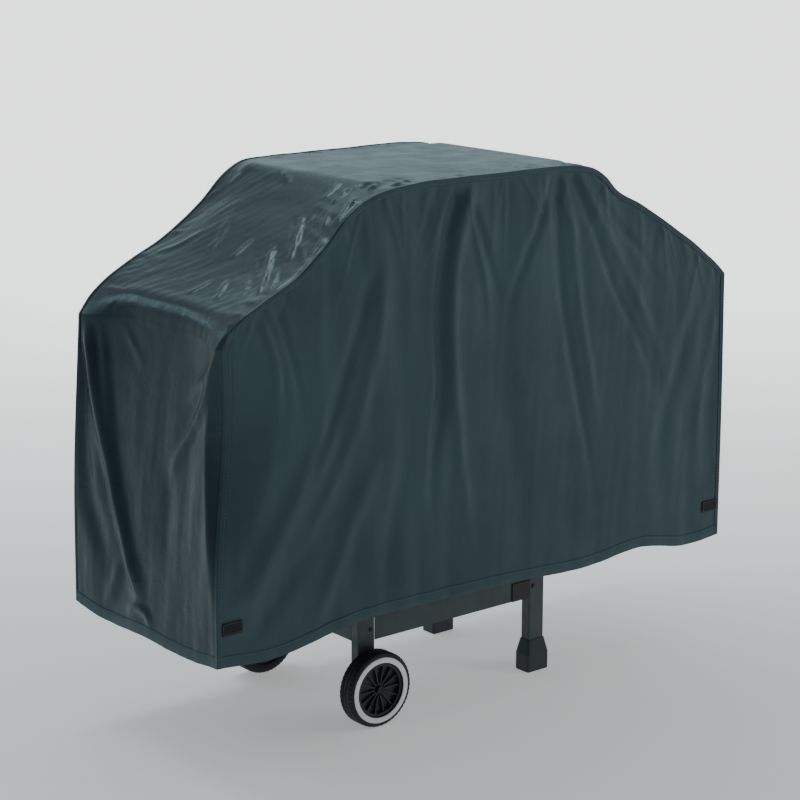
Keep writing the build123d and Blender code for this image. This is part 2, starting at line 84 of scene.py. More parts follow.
def colour(name, description, default):
    return bpy.props.FloatVectorProperty(
        name=name, description=description, default=default, min=0.0, max=1.0, subtype="COLOR",
    )


class CoverSettings(bpy.types.PropertyGroup):
    """Sizes and colours of the cover."""

    cell: length("Cloth cell", "Spacing of the cloth's grid", 0.0055, 0.004, 0.03)
    thickness: length("Cloth thickness", "Vinyl and its backing", 0.0011, 0.0003, 0.004)
    fold_depth: bpy.props.FloatProperty(
        name="Fold depth", description="How deep the hanging folds are",
        default=1.0, min=0.0, max=2.0, subtype="FACTOR",
    )
    dent: length(
        "Corner hollow", "How far the front left corner falls in below the shelf", 0.047, 0.0, 0.08
    )
    tape_width: length(
        "Seam tape width", "Width of the tape on the panel's side of a seam", 0.012, 0.004, 0.03
    )
    hem_width: length("Hem width", "Height of the turned hem", 0.025, 0.01, 0.05)
    stitch: length("Stitch pitch", "Distance from one stitch to the next", 0.008, 0.003, 0.02)
    vinyl: colour("Vinyl", "Colour of the cover's face", (0.042, 0.068, 0.079))
    tape: colour("Seam tape", "Colour of the tape over the seams", (0.038, 0.062, 0.072))
    hook_tape: colour("Hook and loop tape", "Colour of the corner tabs", (0.006, 0.007, 0.008))


class CartSettings(bpy.types.PropertyGroup):
    """Colours and sizes of the cart, its wheels and the grill."""

    paint: colour("Cart paint", "Colour of the legs and the tray", (0.040, 0.058, 0.065))
    boot: colour("Boots", "Colour of the plastic boots and caps", (0.028, 0.040, 0.045))
    tyre: colour("Tyre", "Colour of the tyres", (0.014, 0.018, 0.022))
    rim: colour("Rim", "Colour of the wheels' plastic rims", (0.016, 0.020, 0.028))
    white: colour("White ring", "Colour of the ring on each tyre", (0.95, 0.96, 0.96))
    grooves: bpy.props.IntProperty(
        name="Tread notches", description="Notches round the shoulder of a tyre",
        default=48, min=8, max=120,
    )


def cover_settings():
    """The scene's own settings of the cover."""
    return bpy.context.scene.grill_cover


def cart_settings():
    """The scene's own settings of the cart."""
    return bpy.context.scene.grill_cart


# ---- materials ----------------------------------------------------------------------------------

def scaled(colour, factor):
    """A colour made darker or lighter."""
    return tuple(min(1.0, channel * factor) for channel in colour)


class Recipe:
    """A procedural material in the making: its shader, its coordinates and its patterns."""

    def __init__(self, name, colour, roughness, specular=0.5, **others):
        self.material = bpy.data.materials.new(name)
        self.material.use_nodes = True
        self.nodes, self.links = self.material.node_tree.nodes, self.material.node_tree.links
        self.shader = self.nodes["Principled BSDF"]
        self.colour, self.roughness = colour, roughness
        self.set("Base Color", (*colour, 1))
        self.set("Roughness", roughness)
        self.set("Specular IOR Level", specular)
        for key, value in others.items():
            self.set(key.replace("_", " ").title(), value)
        self.place = self.nodes.new("ShaderNodeTexCoord").outputs["Object"]

    def set(self, key, value):
        self.shader.inputs[key].default_value = value

    def add(self, kind, inputs=None, **settings):
        node = self.nodes.new(kind)
        for key, value in settings.items():
            setattr(node, key, value)
        for key, value in (inputs or {}).items():
            if isinstance(value, bpy.types.NodeSocket):
                self.links.new(value, node.inputs[key])
            else:
                node.inputs[key].default_value = value
        return node

    def noise(self, scale, detail):
        inputs = {"Vector": self.place, "Scale": scale, "Detail": detail}
        return self.add("ShaderNodeTexNoise", inputs).outputs["Fac"]

    def cells(self, scale, feature):
        inputs = {"Vector": self.place, "Scale": scale}
        return self.add("ShaderNodeTexVoronoi", inputs, feature=feature).outputs["Distance"]

    def waves(self, scale, direction, distortion=0.0):
        inputs = {"Vector": self.place, "Scale": scale, "Distortion": distortion}
        return self.add("ShaderNodeTexWave", inputs, bands_direction=direction).outputs["Fac"]

    def mottle(self, dark, light, scale, detail=6.0):
        """Slow changes of colour over the surface."""
        ramp = self.add("ShaderNodeValToRGB", {"Fac": self.noise(scale, detail)})
        for stop, position, factor in zip(ramp.color_ramp.elements, (0.3, 0.7), (dark, light)):
            stop.position = position
            stop.color = (*scaled(self.colour, factor), 1)
        self.links.new(ramp.outputs["Color"], self.shader.inputs["Base Color"])

    def uneven_gloss(self, pattern, less, more, spread=0.2):
        """Roughness that a pattern takes a little under and over its even value."""
        gloss = self.add("ShaderNodeMapRange", {
            "Value": pattern, "From Min": 0.5 - spread, "From Max": 0.5 + spread,
            "To Min": self.roughness - less, "To Max": self.roughness + more,
        })
        self.links.new(gloss.outputs["Result"], self.shader.inputs["Roughness"])

    def bump(self, height, strength, distance, below=None):
        """Relief from a pattern, over the relief that is there already."""
        inputs = {"Height": height, "Strength": strength, "Distance": distance}
        if below:
            inputs["Normal"] = below
        normal = self.add("ShaderNodeBump", inputs).outputs["Normal"]
        self.links.new(normal, self.shader.inputs["Normal"])
        return normal


def vinyl_material(name, colour, roughness, coat):
    """Thin glossy vinyl on a woven backing that prints through as a fine grain."""
    vinyl = Recipe(name, colour, roughness, 0.27, coat_weight=coat, coat_roughness=0.22)
    vinyl.set("Specular Tint", (0.60, 0.92, 1.0, 1))
    vinyl.mottle(0.86, 1.16, 3.2, 8.0)
    vinyl.uneven_gloss(vinyl.noise(14.0, 5.0), 0.06, 0.08)
    grain = vinyl.bump(vinyl.cells(620.0, "F1"), 0.10, 0.0006)
    weave = vinyl.bump(vinyl.noise(260.0, 3.0), 0.16, 0.0008, grain)
    creases = vinyl.bump(vinyl.noise(24.0, 4.0), 0.30, 0.006, weave)
    vinyl.links.new(creases, vinyl.shader.inputs["Coat Normal"])
    return vinyl.material


def woven_material(name, colour, pitch):
    """Narrow woven tape: two crossing sets of ribs."""
    tape = Recipe(name, colour, 0.85, 0.35, sheen_weight=0.15)
    tape.mottle(0.75, 1.3, 60.0)
    ribs = [tape.waves(0.5 / pitch, axis, 0.4) for axis in ("X", "Z")]
    both = tape.add("ShaderNodeMath", {0: ribs[0], 1: ribs[1]}, operation="MULTIPLY")
    tape.bump(both.outputs[0], 0.5, 0.0006)
    return tape.material


def thread_material(name, colour):
    """Twisted polyester thread."""
    thread = Recipe(name, colour, 0.6, 0.4, sheen_weight=0.2)
    thread.mottle(0.8, 1.2, 400.0)
    thread.bump(thread.waves(900.0, "DIAGONAL"), 0.4, 0.0002)
    return thread.material


def paint_material(name, colour, roughness=0.42):
    """Powder coat: slightly pebbled, a little lighter and rougher where dust lies."""
    paint = Recipe(name, colour, roughness)
    paint.mottle(0.85, 1.2, 9.0)
    paint.uneven_gloss(paint.noise(40.0, 8.0), 0.07, 0.12, spread=0.15)
    paint.bump(paint.noise(700.0, 2.0), 0.25, 0.0005)
    return paint.material


def plastic_material(name, colour, roughness=0.5, grain=900.0):
    """Moulded plastic with a fine spark eroded grain."""
    plastic = Recipe(name, colour, roughness, 0.45)
    plastic.mottle(0.85, 1.2, 14.0)
    plastic.bump(plastic.cells(grain, "SMOOTH_F1"), 0.22, 0.0005)
    return plastic.material


def rubber_material(name, colour):
    """Tyre rubber, dusty in places."""
    rubber = Recipe(name, colour, 0.62, 0.4)
    rubber.mottle(0.75, 1.5, 22.0)
    rubber.bump(rubber.noise(480.0, 4.0), 0.3, 0.0006)
    return rubber.material


def metal_material(name, colour, roughness):
    """Plated or turned metal with fine marks."""
    metal = Recipe(name, colour, roughness, metallic=1.0)
    metal.mottle(0.8, 1.1, 30.0)
    marks = metal.noise(160.0, 6.0)
    metal.uneven_gloss(marks, 0.08, 0.15)
    metal.bump(marks, 0.12, 0.0003)
    return metal.material


def finish(name):
    """Each finish of the object, made once and shared."""
    label = f"{name}_finish"
    made = bpy.data.materials.get(label)
    if made:
        return made
    cover, cart = cover_settings(), cart_settings()
    makers = {
        # The strip and the panels are one vinyl in two copies: the strip's colour darkened to 0.62 is
        # painted shade, and the panels' colour lightened to 1.10 is painted light on the front and the
        # back.
        "vinyl": lambda: vinyl_material(label, scaled(cover.vinyl, 0.62), 0.31, 0.05),
        "lit_panel_vinyl": lambda: vinyl_material(label, scaled(cover.vinyl, 1.10), 0.50, 0.0),
        "seam_tape": lambda: vinyl_material(label, cover.tape, 0.42, 0.05),
        "thread": lambda: thread_material(label, scaled(cover.tape, 2.2)),
        "hook_tape": lambda: woven_material(label, cover.hook_tape, 0.0016),
        "paint": lambda: paint_material(label, cart.paint),
        "boot": lambda: plastic_material(label, cart.boot, 0.52),
        "rubber": lambda: rubber_material(label, cart.tyre),
        "rim": lambda: plastic_material(label, cart.rim, 0.42),
        "white_ring": lambda: plastic_material(label, cart.white, 0.4, 500.0),
        "steel": lambda: metal_material(label, (0.42, 0.43, 0.44), 0.35),
        "black_steel": lambda: metal_material(label, (0.050, 0.053, 0.057), 0.45),
        "brass": lambda: metal_material(label, (0.60, 0.42, 0.16), 0.3),
        "enamel": lambda: paint_material(label, (0.010, 0.010, 0.011), 0.3),
        "black_plastic": lambda: plastic_material(label, (0.009, 0.009, 0.010), 0.45),
        "resin": lambda: plastic_material(label, (0.030, 0.033, 0.036), 0.55, 420.0),
    }
    return makers[name]()


# ---- curves, folds and meshes -------------------------------------------------------------------

def distances(line):
    """How far along a line each of its points is."""
    return np.concatenate([[0], np.cumsum(np.linalg.norm(np.diff(line, axis=0), axis=1))])


def read_at(at, along, values):
    """Values along a line, read at other distances."""
    return np.stack([np.interp(at, along, column) for column in values.T], axis=1)


def evenly(line, count):
    """Points spaced evenly along a line."""
    line = np.asarray(line, float)
    along = distances(line)
    return read_at(np.linspace(0, along[-1], count), along, line)


def smooth_line(points, count):
    """A smooth curve through a few points, as evenly spaced points."""
    points = np.asarray(points, float)
    chord = distances(points)
    slope = np.gradient(points, chord, axis=0)
    at = np.linspace(0, chord[-1], 30 * len(points))
    i = np.clip(np.searchsorted(chord, at, side="right") - 1, 0, len(points) - 2)
    span = (chord[i + 1] - chord[i])[:, None]
    u = ((at - chord[i])[:, None]) / span
    line = (
        (2 * u**3 - 3 * u**2 + 1) * points[i]
        + (u**3 - 2 * u**2 + u) * span * slope[i]
        + (3 * u**2 - 2 * u**3) * points[i + 1]
        + (u**3 - u**2) * span * slope[i + 1]
    )
    return evenly(line, count)


def smoothstep(value):
    """An eased ramp from 0 to 1."""
    value = np.clip(value, 0, 1)
    return value * value * (3 - 2 * value)


def fold(across, up, path, height, width, start=0.35, stop=0.35):
    """A ridge, or a valley if height is negative, along a smooth path over a surface.

    start and stop say how far along its length it takes to rise and to die away."""
    line = smooth_line(path, 24)
    best = np.full(across.shape, np.inf)
    share = np.zeros(across.shape)
    for k, (a, b) in enumerate(zip(line[:-1], line[1:])):
        d = b - a
        t = np.clip(((across - a[0]) * d[0] + (up - a[1]) * d[1]) / (d @ d), 0, 1)
        gap = (across - a[0] - t * d[0]) ** 2 + (up - a[1] - t * d[1]) ** 2
        nearer = gap < best
        best = np.where(nearer, gap, best)
        share = np.where(nearer, (k + t) / (len(line) - 1), share)
    rise = smoothstep(share / max(start, 1e-6)) * smoothstep((1 - share) / max(stop, 1e-6))
    profile = np.exp(-best / width**2) - 0.32 * np.exp(-best / (2.6 * width) ** 2)
    return height * profile * rise


def ripple(a, b, seed, size, tall):
    """Slow unevenness: a few crossed waves, longer up the cloth than across it."""
    draw = np.random.default_rng(seed)
    total = np.zeros(np.shape(a))
    for _ in range(7):
        kx, kz = draw.uniform(0.5, 1.6) * 2 * np.pi / size, draw.uniform(-1, 1) * 2 * np.pi / tall
        total = total + draw.uniform(0.4, 1.0) * np.sin(kx * a + kz * b + draw.uniform(0, 6.28))
    return total / 7


def grid_faces(rows, columns, wrap=False):
    """Quads over a grid of points whose index is row * columns + column."""
    r, c = np.meshgrid(np.arange(rows - 1), np.arange(columns - (0 if wrap else 1)), indexing="ij")
    a = r * columns + c
    b = r * columns + (c + 1) % columns
    return np.stack([a, b, b + columns, a + columns], axis=-1).reshape(-1, 4)


def mesh_piece(name, points, faces, material, smooth=True):
    """A new object from points and faces."""
    mesh = bpy.data.meshes.new(name)
    mesh.from_pydata([tuple(p) for p in np.asarray(points, float)], [], [list(map(int, f)) for f in faces])
    mesh.validate()
    mesh.update()
    mesh.polygons.foreach_set("use_smooth", [smooth] * len(mesh.polygons))
    mesh.materials.append(material)
    piece = bpy.data.objects.new(name, mesh)
    bpy.context.scene.collection.objects.link(piece)
    return piece


def apply_modifiers(piece):
    """Turns a piece's modifiers into its mesh."""
    evaluated = piece.evaluated_get(bpy.context.evaluated_depsgraph_get())
    mesh = bpy.data.meshes.new_from_object(evaluated)
    old = piece.data
    piece.modifiers.clear()
    piece.data = mesh
    bpy.data.meshes.remove(old)
    mesh.name = piece.name


def turned(name, profile, centre, axis, material, steps=128, shape=None):
    """A closed profile of (along, radius) turned about an axis through centre."""
    profile = np.asarray(profile, float)
    angle = np.linspace(0, 2 * np.pi, steps, endpoint=False)
    axis = np.asarray(axis, float)
    side = np.array([1.0, 0, 0])
    up = np.cross(axis, side)
    radius = np.repeat(profile[None, :, 1], steps, axis=0)
    along = np.repeat(profile[None, :, 0], steps, axis=0)
    if shape is not None:
        along, radius = shape(along, radius, angle[:, None])
    points = (
        np.asarray(centre)
        + along[..., None] * axis
        + radius[..., None] * (np.cos(angle)[:, None, None] * side + np.sin(angle)[:, None, None] * up)
    )
    rows, columns = points.shape[:2]
    faces = grid_faces(rows + 1, columns, wrap=True) % (rows * columns)
    return mesh_piece(name, points.reshape(-1, 3), faces, material)


def unit(vectors):
    """Vectors at a length of one."""
    return vectors / np.maximum(np.linalg.norm(vectors, axis=-1, keepdims=True), 1e-12)


# ---- how the cover hangs ------------------------------------------------------------------------

# Lines across the cover, as (x, drop below the crown).  The left end is the one over the wheels.
FRONT_SEAM = (
    (-0.732, 0.305), (-0.712, 0.270), (-0.688, 0.245), (-0.645, 0.221), (-0.535, 0.166),
    (-0.456, 0.104), (-0.403, 0.052), (-0.357, 0.025), (-0.300, 0.010), (-0.200, 0.001),
    (0.000, 0.000), (0.205, 0.001), (0.262, 0.004), (0.305, 0.014), (0.345, 0.037),
    (0.378, 0.069), (0.458, 0.110), (0.561, 0.170), (0.640, 0.220), (0.692, 0.257),
    (0.728, 0.284), (0.755, 0.309),
)
BACK_SEAM = (
    (-0.729, 0.312), (-0.700, 0.275), (-0.663, 0.245), (-0.591, 0.205), (-0.495, 0.158),
    (-0.454, 0.132), (-0.397, 0.091), (-0.330, 0.030), (-0.283, 0.006), (-0.200, 0.001),
    (0.000, 0.000), (0.210, 0.001), (0.276, 0.007), (0.325, 0.028), (0.378, 0.078),
    (0.458, 0.122), (0.561, 0.180), (0.640, 0.226), (0.695, 0.258), (0.735, 0.290),
    (0.756, 0.320),
)
MIDDLE = (
    (-0.693, 0.300), (-0.685, 0.262), (-0.672, 0.244), (-0.640, 0.228), (-0.535, 0.170),
    (-0.456, 0.112), (-0.390, 0.064), (-0.340, 0.026), (-0.312, 0.0070), (-0.290, 0.0015),
    (-0.260, 0.0000), (0.000, 0.000), (0.240, 0.0000), (0.270, 0.0015), (0.292, 0.0070),
    (0.320, 0.026), (0.370, 0.064), (0.458, 0.124), (0.561, 0.188), (0.640, 0.234),
    (0.672, 0.252), (0.710, 0.286), (0.738, 0.330),
)
# How wide the front left corner's hollow is, on the end and on the front.
END_HOLLOW, FRONT_HOLLOW = 0.068, 0.150
# Heights of the hem above its nominal height.
FRONT_HEM = ((LEFT, -0.006), (-0.59, -0.014), (-0.46, 0.008), (0.01, 0.015), (0.35, 0.005),
             (0.48, 0.017), (0.66, -0.010), (RIGHT, -0.003))
LEFT_HEM = ((FRONT, -0.006), (-0.18, -0.015), (0.02, -0.012), (0.16, -0.018), (BACK, -0.004))
BACK_HEM = ((LEFT, -0.004), (-0.45, 0.010), (-0.10, -0.006), (0.30, 0.012), (RIGHT, -0.004))
RIGHT_HEM = ((FRONT, -0.003), (-0.10, 0.010), (0.12, -0.006), (BACK, -0.004))

# Folds of the front panel: path as (x, height), how proud, how wide, how soon it rises and dies.
FRONT_FOLDS = (
    (((-0.10, 1.24), (-0.145, 1.12), (-0.162, 0.94), (-0.155, 0.80), (-0.18, 0.62), (-0.17, 0.36)),
     -0.011, 0.017, 0.03, 0.5),
    (((-0.06, 1.24), (-0.115, 1.11), (-0.130, 0.94), (-0.120, 0.76), (-0.08, 0.52), (-0.04, 0.30)),
     0.008, 0.018, 0.04, 0.5),
    (((-0.085, 1.24), (-0.050, 1.15), (-0.010, 1.04), (0.030, 0.92)), -0.005, 0.011, 0.04, 0.6),
    (((-0.080, 1.24), (-0.065, 1.14), (-0.030, 1.02), (-0.010, 0.88)), 0.005, 0.010, 0.04, 0.6),
    (((-0.33, 1.12), (-0.375, 1.00), (-0.40, 0.93), (-0.46, 0.77), (-0.54, 0.60), (-0.60, 0.46)),
     -0.007, 0.016, 0.15, 0.5),
    (((-0.30, 1.16), (-0.342, 0.92), (-0.40, 0.74), (-0.50, 0.54), (-0.60, 0.36)),
     0.007, 0.022, 0.2, 0.3),
    (((0.19, 1.245), (0.192, 1.07), (0.207, 0.95), (0.255, 0.74), (0.31, 0.52), (0.34, 0.34)),
     -0.007, 0.014, 0.04, 0.5),
    (((0.21, 1.245), (0.235, 1.08), (0.255, 0.95), (0.30, 0.74), (0.36, 0.52)),
     0.005, 0.015, 0.04, 0.5),
    (((0.18, 1.245), (0.13, 1.14), (0.06, 1.00), (0.02, 0.86)), -0.005, 0.012, 0.05, 0.6),
    (((0.23, 1.25), (0.30, 1.10), (0.37, 0.96), (0.47, 0.80), (0.54, 0.64)), -0.0042, 0.012, 0.05, 0.5),
    (((0.25, 1.25), (0.33, 1.11), (0.42, 0.97), (0.52, 0.80), (0.59, 0.62)), 0.0045, 0.016, 0.05, 0.5),
    (((0.27, 1.245), (0.36, 1.13), (0.47, 1.02), (0.58, 0.88)), -0.003, 0.012, 0.05, 0.5),
    (((-0.735, 0.33), (-0.66, 0.44), (-0.58, 0.56), (-0.487, 0.70), (-0.37, 0.84)),
     0.013, 0.030, 0.15, 0.5),
    (((-0.70, 0.31), (-0.60, 0.40), (-0.50, 0.52), (-0.38, 0.66)), -0.008, 0.026, 0.2, 0.5),
    (((-0.52, 0.28), (-0.46, 0.41), (-0.38, 0.58), (-0.28, 0.74)), 0.009, 0.024, 0.2, 0.5),
    (((-0.31, 0.28), (-0.30, 0.42), (-0.27, 0.60), (-0.23, 0.78)), -0.007, 0.026, 0.3, 0.5),
    (((-0.640, 1.01), (-0.608, 0.93), (-0.595, 0.82), (-0.60, 0.70)), 0.005, 0.011, 0.1, 0.6),
    (((-0.600, 1.03), (-0.570, 0.94), (-0.545, 0.84), (-0.54, 0.74)), -0.004, 0.010, 0.1, 0.6),
    (((0.68, 0.93), (0.60, 0.74), (0.545, 0.56), (0.53, 0.40)), -0.0045, 0.024, 0.2, 0.4),
    (((0.74, 0.90), (0.70, 0.72), (0.675, 0.55), (0.69, 0.42)), 0.0045, 0.020, 0.2, 0.4),
    (((0.05, 0.85), (0.06, 0.66), (0.09, 0.48), (0.10, 0.30)), -0.006, 0.036, 0.4, 0.3),
)
# Folds of the left end: path as (y, height).
LEFT_FOLDS = (
    (((0.262, 0.96), (0.240, 0.86), (0.205, 0.74), (0.150, 0.60), (0.085, 0.46), (0.0, 0.31)),
     0.020, 0.022, 0.05, 0.2),
    (((0.280, 0.90), (0.270, 0.70), (0.225, 0.52), (0.150, 0.36)),
     -0.014, 0.032, 0.15, 0.3),
    (((0.225, 0.985), (0.195, 0.83), (0.165, 0.70), (0.130, 0.60)),
     0.008, 0.013, 0.08, 0.5),
    (((0.190, 0.990), (0.120, 0.915), (0.045, 0.845)),
     0.006, 0.012, 0.1, 0.6),
    (((-0.275, 0.985), (-0.235, 0.91), (-0.165, 0.855), (-0.105, 0.80)),
     0.010, 0.016, 0.1, 0.6),
    (((-0.240, 0.90), (-0.185, 0.81), (-0.130, 0.735), (-0.085, 0.67), (-0.075, 0.60)),
     0.010, 0.015, 0.15, 0.5),
    (((-0.06, 0.70), (-0.07, 0.56), (-0.05, 0.42)),
     -0.007, 0.035, 0.4, 0.4),
    (((0.085, 0.30), (0.035, 0.325), (-0.01, 0.315), (-0.03, 0.285)),
     0.007, 0.012, 0.3, 0.3),
    (((0.10, 0.44), (0.13, 0.36), (0.17, 0.28)),
     0.006, 0.020, 0.4, 0.3),
)
# Wrinkles on the slope and the crown: path as (x, y), seen from above.
SLOPE_FOLDS = (
    (((-0.475, -0.105), (-0.545, -0.178), (-0.615, -0.245)), 0.0058, 0.0085, 0.25, 0.2),
    (((-0.395, -0.107), (-0.440, -0.155), (-0.482, -0.195)), 0.0038, 0.0075, 0.3, 0.3),
    (((-0.440, -0.150), (-0.475, -0.185), (-0.515, -0.215)), 0.0036, 0.0070, 0.3, 0.3),
    (((-0.385, -0.195), (-0.410, -0.215), (-0.435, -0.232)), 0.0036, 0.0070, 0.3, 0.3),
    (((-0.345, -0.235), (-0.385, -0.255), (-0.430, -0.262)), 0.0060, 0.0100, 0.3, 0.3),
    (((-0.440, -0.255), (-0.520, -0.268), (-0.600, -0.262)), 0.0050, 0.0085, 0.2, 0.2),
    (((-0.310, -0.130), (-0.340, -0.140), (-0.370, -0.128)), 0.0036, 0.0070, 0.3, 0.3),
    (((-0.320, -0.180), (-0.345, -0.188), (-0.375, -0.178)), 0.0038, 0.0070, 0.3, 0.3),
    (((-0.245, -0.190), (-0.290, -0.228), (-0.335, -0.240)), 0.0050, 0.0085, 0.3, 0.3),
    (((-0.180, -0.225), (-0.230, -0.245), (-0.290, -0.262)), 0.0042, 0.0085, 0.3, 0.3),
    (((-0.300, 0.085), (-0.325, 0.050), (-0.335, 0.010)), 0.0038, 0.0085, 0.3, 0.3),
    (((-0.300, 0.200), (-0.330, 0.215), (-0.360, 0.228)), 0.0042, 0.0085, 0.3, 0.3),
    (((-0.465, -0.037), (-0.500, -0.030), (-0.535, -0.026)), 0.0032, 0.0080, 0.3, 0.3),
    (((-0.585, -0.050), (-0.620, -0.036), (-0.650, -0.020)), 0.0028, 0.0080, 0.3, 0.3),
    (((-0.575, -0.085), (-0.615, -0.110), (-0.648, -0.135)), 0.0040, 0.0080, 0.3, 0.3),
    (((-0.545, -0.130), (-0.590, -0.185), (-0.640, -0.225)), -0.0036, 0.0090, 0.3, 0.3),
    (((-0.520, -0.185), (-0.560, -0.225), (-0.610, -0.262)), 0.0034, 0.0065, 0.3, 0.3),
    (((-0.420, 0.130), (-0.480, 0.080), (-0.560, 0.060)), 0.0030, 0.0120, 0.4, 0.4),
    (((-0.560, 0.250), (-0.520, 0.190), (-0.460, 0.150)), 0.0034, 0.0100, 0.3, 0.4),
)


def round_box(points, node, radius):
    """How far points are outside a node's box with rounded edges."""
    lo, hi = low(node), high(node)
    q = np.abs(points - (lo + hi) / 2) - (hi - lo) / 2 + radius
    return np.linalg.norm(np.maximum(q, 0), axis=-1) + np.minimum(q.max(axis=-1), 0) - radius


UNDER_CLOTH = (
    ("hood", 0.044), ("left_shelf", 0.003), ("right_shelf", 0.003), ("hood_handle", 0.0079),
    ("left_knob", 0.006), ("middle_knob", 0.006), ("right_knob", 0.006),
    ("control_panel", 0.002), ("hood_hinges", 0.002),
)


def rest_on_grill(points, out, share):
    """Moves cloth out to where it lies on the grill, without a step at the edge of the contact."""
    soft = 0.0012
    for _ in range(2):
        push = np.zeros(points.shape[:2])
        for node, radius in UNDER_CLOTH:
            short = (0.0024 - round_box(points, node, radius)) / soft
            push = np.maximum(push, soft * np.logaddexp(0, np.clip(short, -40, 40)))
        points = points + out * (np.where(push > 1e-5, push, 0) * share)[..., None]
    return points


def seam_puckers(x, inward, seed, count, reach):
    """Short wrinkles that run in from a seam where its stitching draws the cloth up."""
    draw = np.random.default_rng(seed)
    total = np.zeros(np.shape(x))
    for _ in range(count):
        centre, width = draw.uniform(-0.72, 0.72), draw.uniform(0.005, 0.010)
        length, lean = draw.uniform(0.4, 1.0) * reach, draw.uniform(-0.6, 0.6)
        height = draw.uniform(-0.0016, 0.0024)
        offset = (x - centre - lean * inward) / width
        total = total + height * np.exp(-offset**2 - (inward / length) ** 2)
    return total


class Drape:
    """The cover's shape: a strip over the ends and the top, and a front and a back panel.

    Rows of the strip run from the left hem over the crown to the right hem, and its columns run
    from the front seam to the back seam.  A panel's side and top edges are rows of the strip."""

    def __init__(self):
        cell = cover_settings().cell
        self.deep = int(round(DEPTH / cell)) + 1
        self.side = int(round((CROWN - HEM - EAR_DROP) / cell)) + 1
        self.over = int(round(OVER_TOP / cell)) + 1
        self.strip = self.lay_strip()
        self.front = self.lay_panel(self.strip[:, 0], FRONT, FRONT_HEM, self.front_folds)
        self.back = self.lay_panel(self.strip[:, -1], BACK, BACK_HEM, self.back_folds)

    def hem_height(self, line, at):
        """Height of an uneven hem at places along it."""
        curve = smooth_line(line, 200)
        return HEM + np.interp(at, curve[:, 0], curve[:, 1])

    def profile(self, top, left_hem, right_hem, belly):
        """One line over the cover in (x, z): up the left end, over, and down the right end."""
        over = smooth_line([(x, CROWN - drop) for x, drop in top], self.over)
        left = np.array([(LEFT, left_hem), (LEFT + belly, 0.55), tuple(over[0])])
        right = np.array([tuple(over[-1]), (RIGHT - 0.2 * belly, 0.60), (RIGHT, right_hem)])
        return np.concatenate([
            smooth_line(left, self.side)[:-1], over, smooth_line(right, self.side)[1:],
        ])

    def hollow(self, away, z, width):
        """How far the front left corner falls in, towards +X and +Y alike, beside its seam."""
        foot, head = 0.36, 0.995
        share = np.clip((z - foot) / (head - foot), 0, 1)
        tall = np.sin(np.pi * share**1.6)
        ramp = 1 - away / (width * (0.25 + 0.75 * tall))
        soft = 0.11
        shape = 0.5 * (ramp + np.sqrt(ramp**2 + soft**2)) - 0.5 * (np.sqrt(1 + soft**2) - 1)
        return cover_settings().dent * tall * np.clip(shape, 0, None)

    def lay_strip(self):
        """The strip as a grid of points, with its folds and the hollow of the front left corner."""
        share = np.linspace(0, 1, self.deep)
        y = FRONT + share * DEPTH
        front = self.profile(FRONT_SEAM, HEM, HEM, 0.004)
        back = self.profile(BACK_SEAM, HEM, HEM, 0.006)
        middle = self.profile(MIDDLE, HEM, HEM, 0.022)
        seam_reach = 0.105
        near = np.exp(-((y - FRONT) / seam_reach) ** 2)[None, :, None]
        far = np.exp(-((BACK - y) / seam_reach) ** 2)[None, :, None]
        line = (
            middle[:, None] + (front - middle)[:, None] * near + (back - middle)[:, None] * far
        )
        rows = len(line)
        x, z = line[..., 0], line[..., 1]
        yy = np.repeat(y[None], rows, axis=0)

        # The hems of the two ends are uneven, and the unevenness dies away up the cloth.
        row = np.arange(rows)[:, None]
        left_end = np.clip(1 - row / (self.side - 1), 0, 1)
        right_end = np.clip(1 - (rows - 1 - row) / (self.side - 1), 0, 1)
        z = z + left_end * (self.hem_height(LEFT_HEM, y)[None] - HEM)
        z = z + right_end * (self.hem_height(RIGHT_HEM, y)[None] - HEM)

        points = np.stack([x, yy, z], axis=-1)
        normal = self.normals(points)
        edge = smoothstep((yy - FRONT) / 0.025) * smoothstep((BACK - yy) / 0.025)
        depth = cover_settings().fold_depth
        proud = np.zeros(x.shape)
        on_left = smoothstep(left_end / 0.12) * (left_end > 0)
        for path, height, width, start, stop in LEFT_FOLDS:
            proud += fold(yy, z, path, height, width, start, stop) * on_left
        ends = left_end + right_end
        proud += 0.0080 * ripple(yy, z, 3, 0.22, 0.9) * ends
        proud += 0.0030 * ripple(yy, z, 5, 0.09, 0.5) * np.clip(3 * ends, 0, 1)
        proud += 0.0009 * ripple(yy, z, 6, 0.04, 0.2) * np.clip(3 * ends, 0, 1)
        on_top = ((left_end <= 0) & (right_end <= 0)).astype(float)
        for path, height, width, start, stop in SLOPE_FOLDS:
            proud += fold(x, yy, path, height, width, start, stop) * on_top
            proud += fold(-x, yy, path, 0.6 * height, width, start, stop) * on_top
        slope = np.clip(1 - np.abs(normal[..., 2]), 0, 1) * on_top
        proud += 0.0024 * ripple(x, yy, 7, 0.10, 0.14) * on_top * (0.3 + slope)
        proud += 0.0010 * ripple(x + yy, yy, 8, 0.045, 0.09) * on_top
        proud += 0.0004 * ripple(x + 0.8 * yy, yy - x, 9, 0.024, 0.080) * on_top
        corner = np.exp(-((x + 0.35) / 0.10) ** 2 - ((yy + 0.20) / 0.09) ** 2)
        proud += 0.0030 * ripple(x - 0.6 * yy, x + yy, 10, 0.034, 0.085) * corner * on_top
        proud += seam_puckers(x, yy - FRONT, 11, 110, 0.12) * on_top
        proud += seam_puckers(x, BACK - yy, 12, 100, 0.08) * on_top
        points = points + normal * (proud * edge * depth)[..., None]
        points = rest_on_grill(points, normal, edge)

        # The seams themselves waver by a millimetre or two.
        waver = 0.0016 * ripple(points[..., 0], points[..., 2], 21, 0.16, 0.16)
        points[..., 2] += waver * (near[..., 0] + far[..., 0]) * on_top

        # The front left corner falls in.
        left_rows = (z < 1.01) * (x < 0)
        fall = self.hollow(yy - FRONT, z, END_HOLLOW) * left_rows
        points[..., 0] += fall
        points[..., 1] += fall
        return points

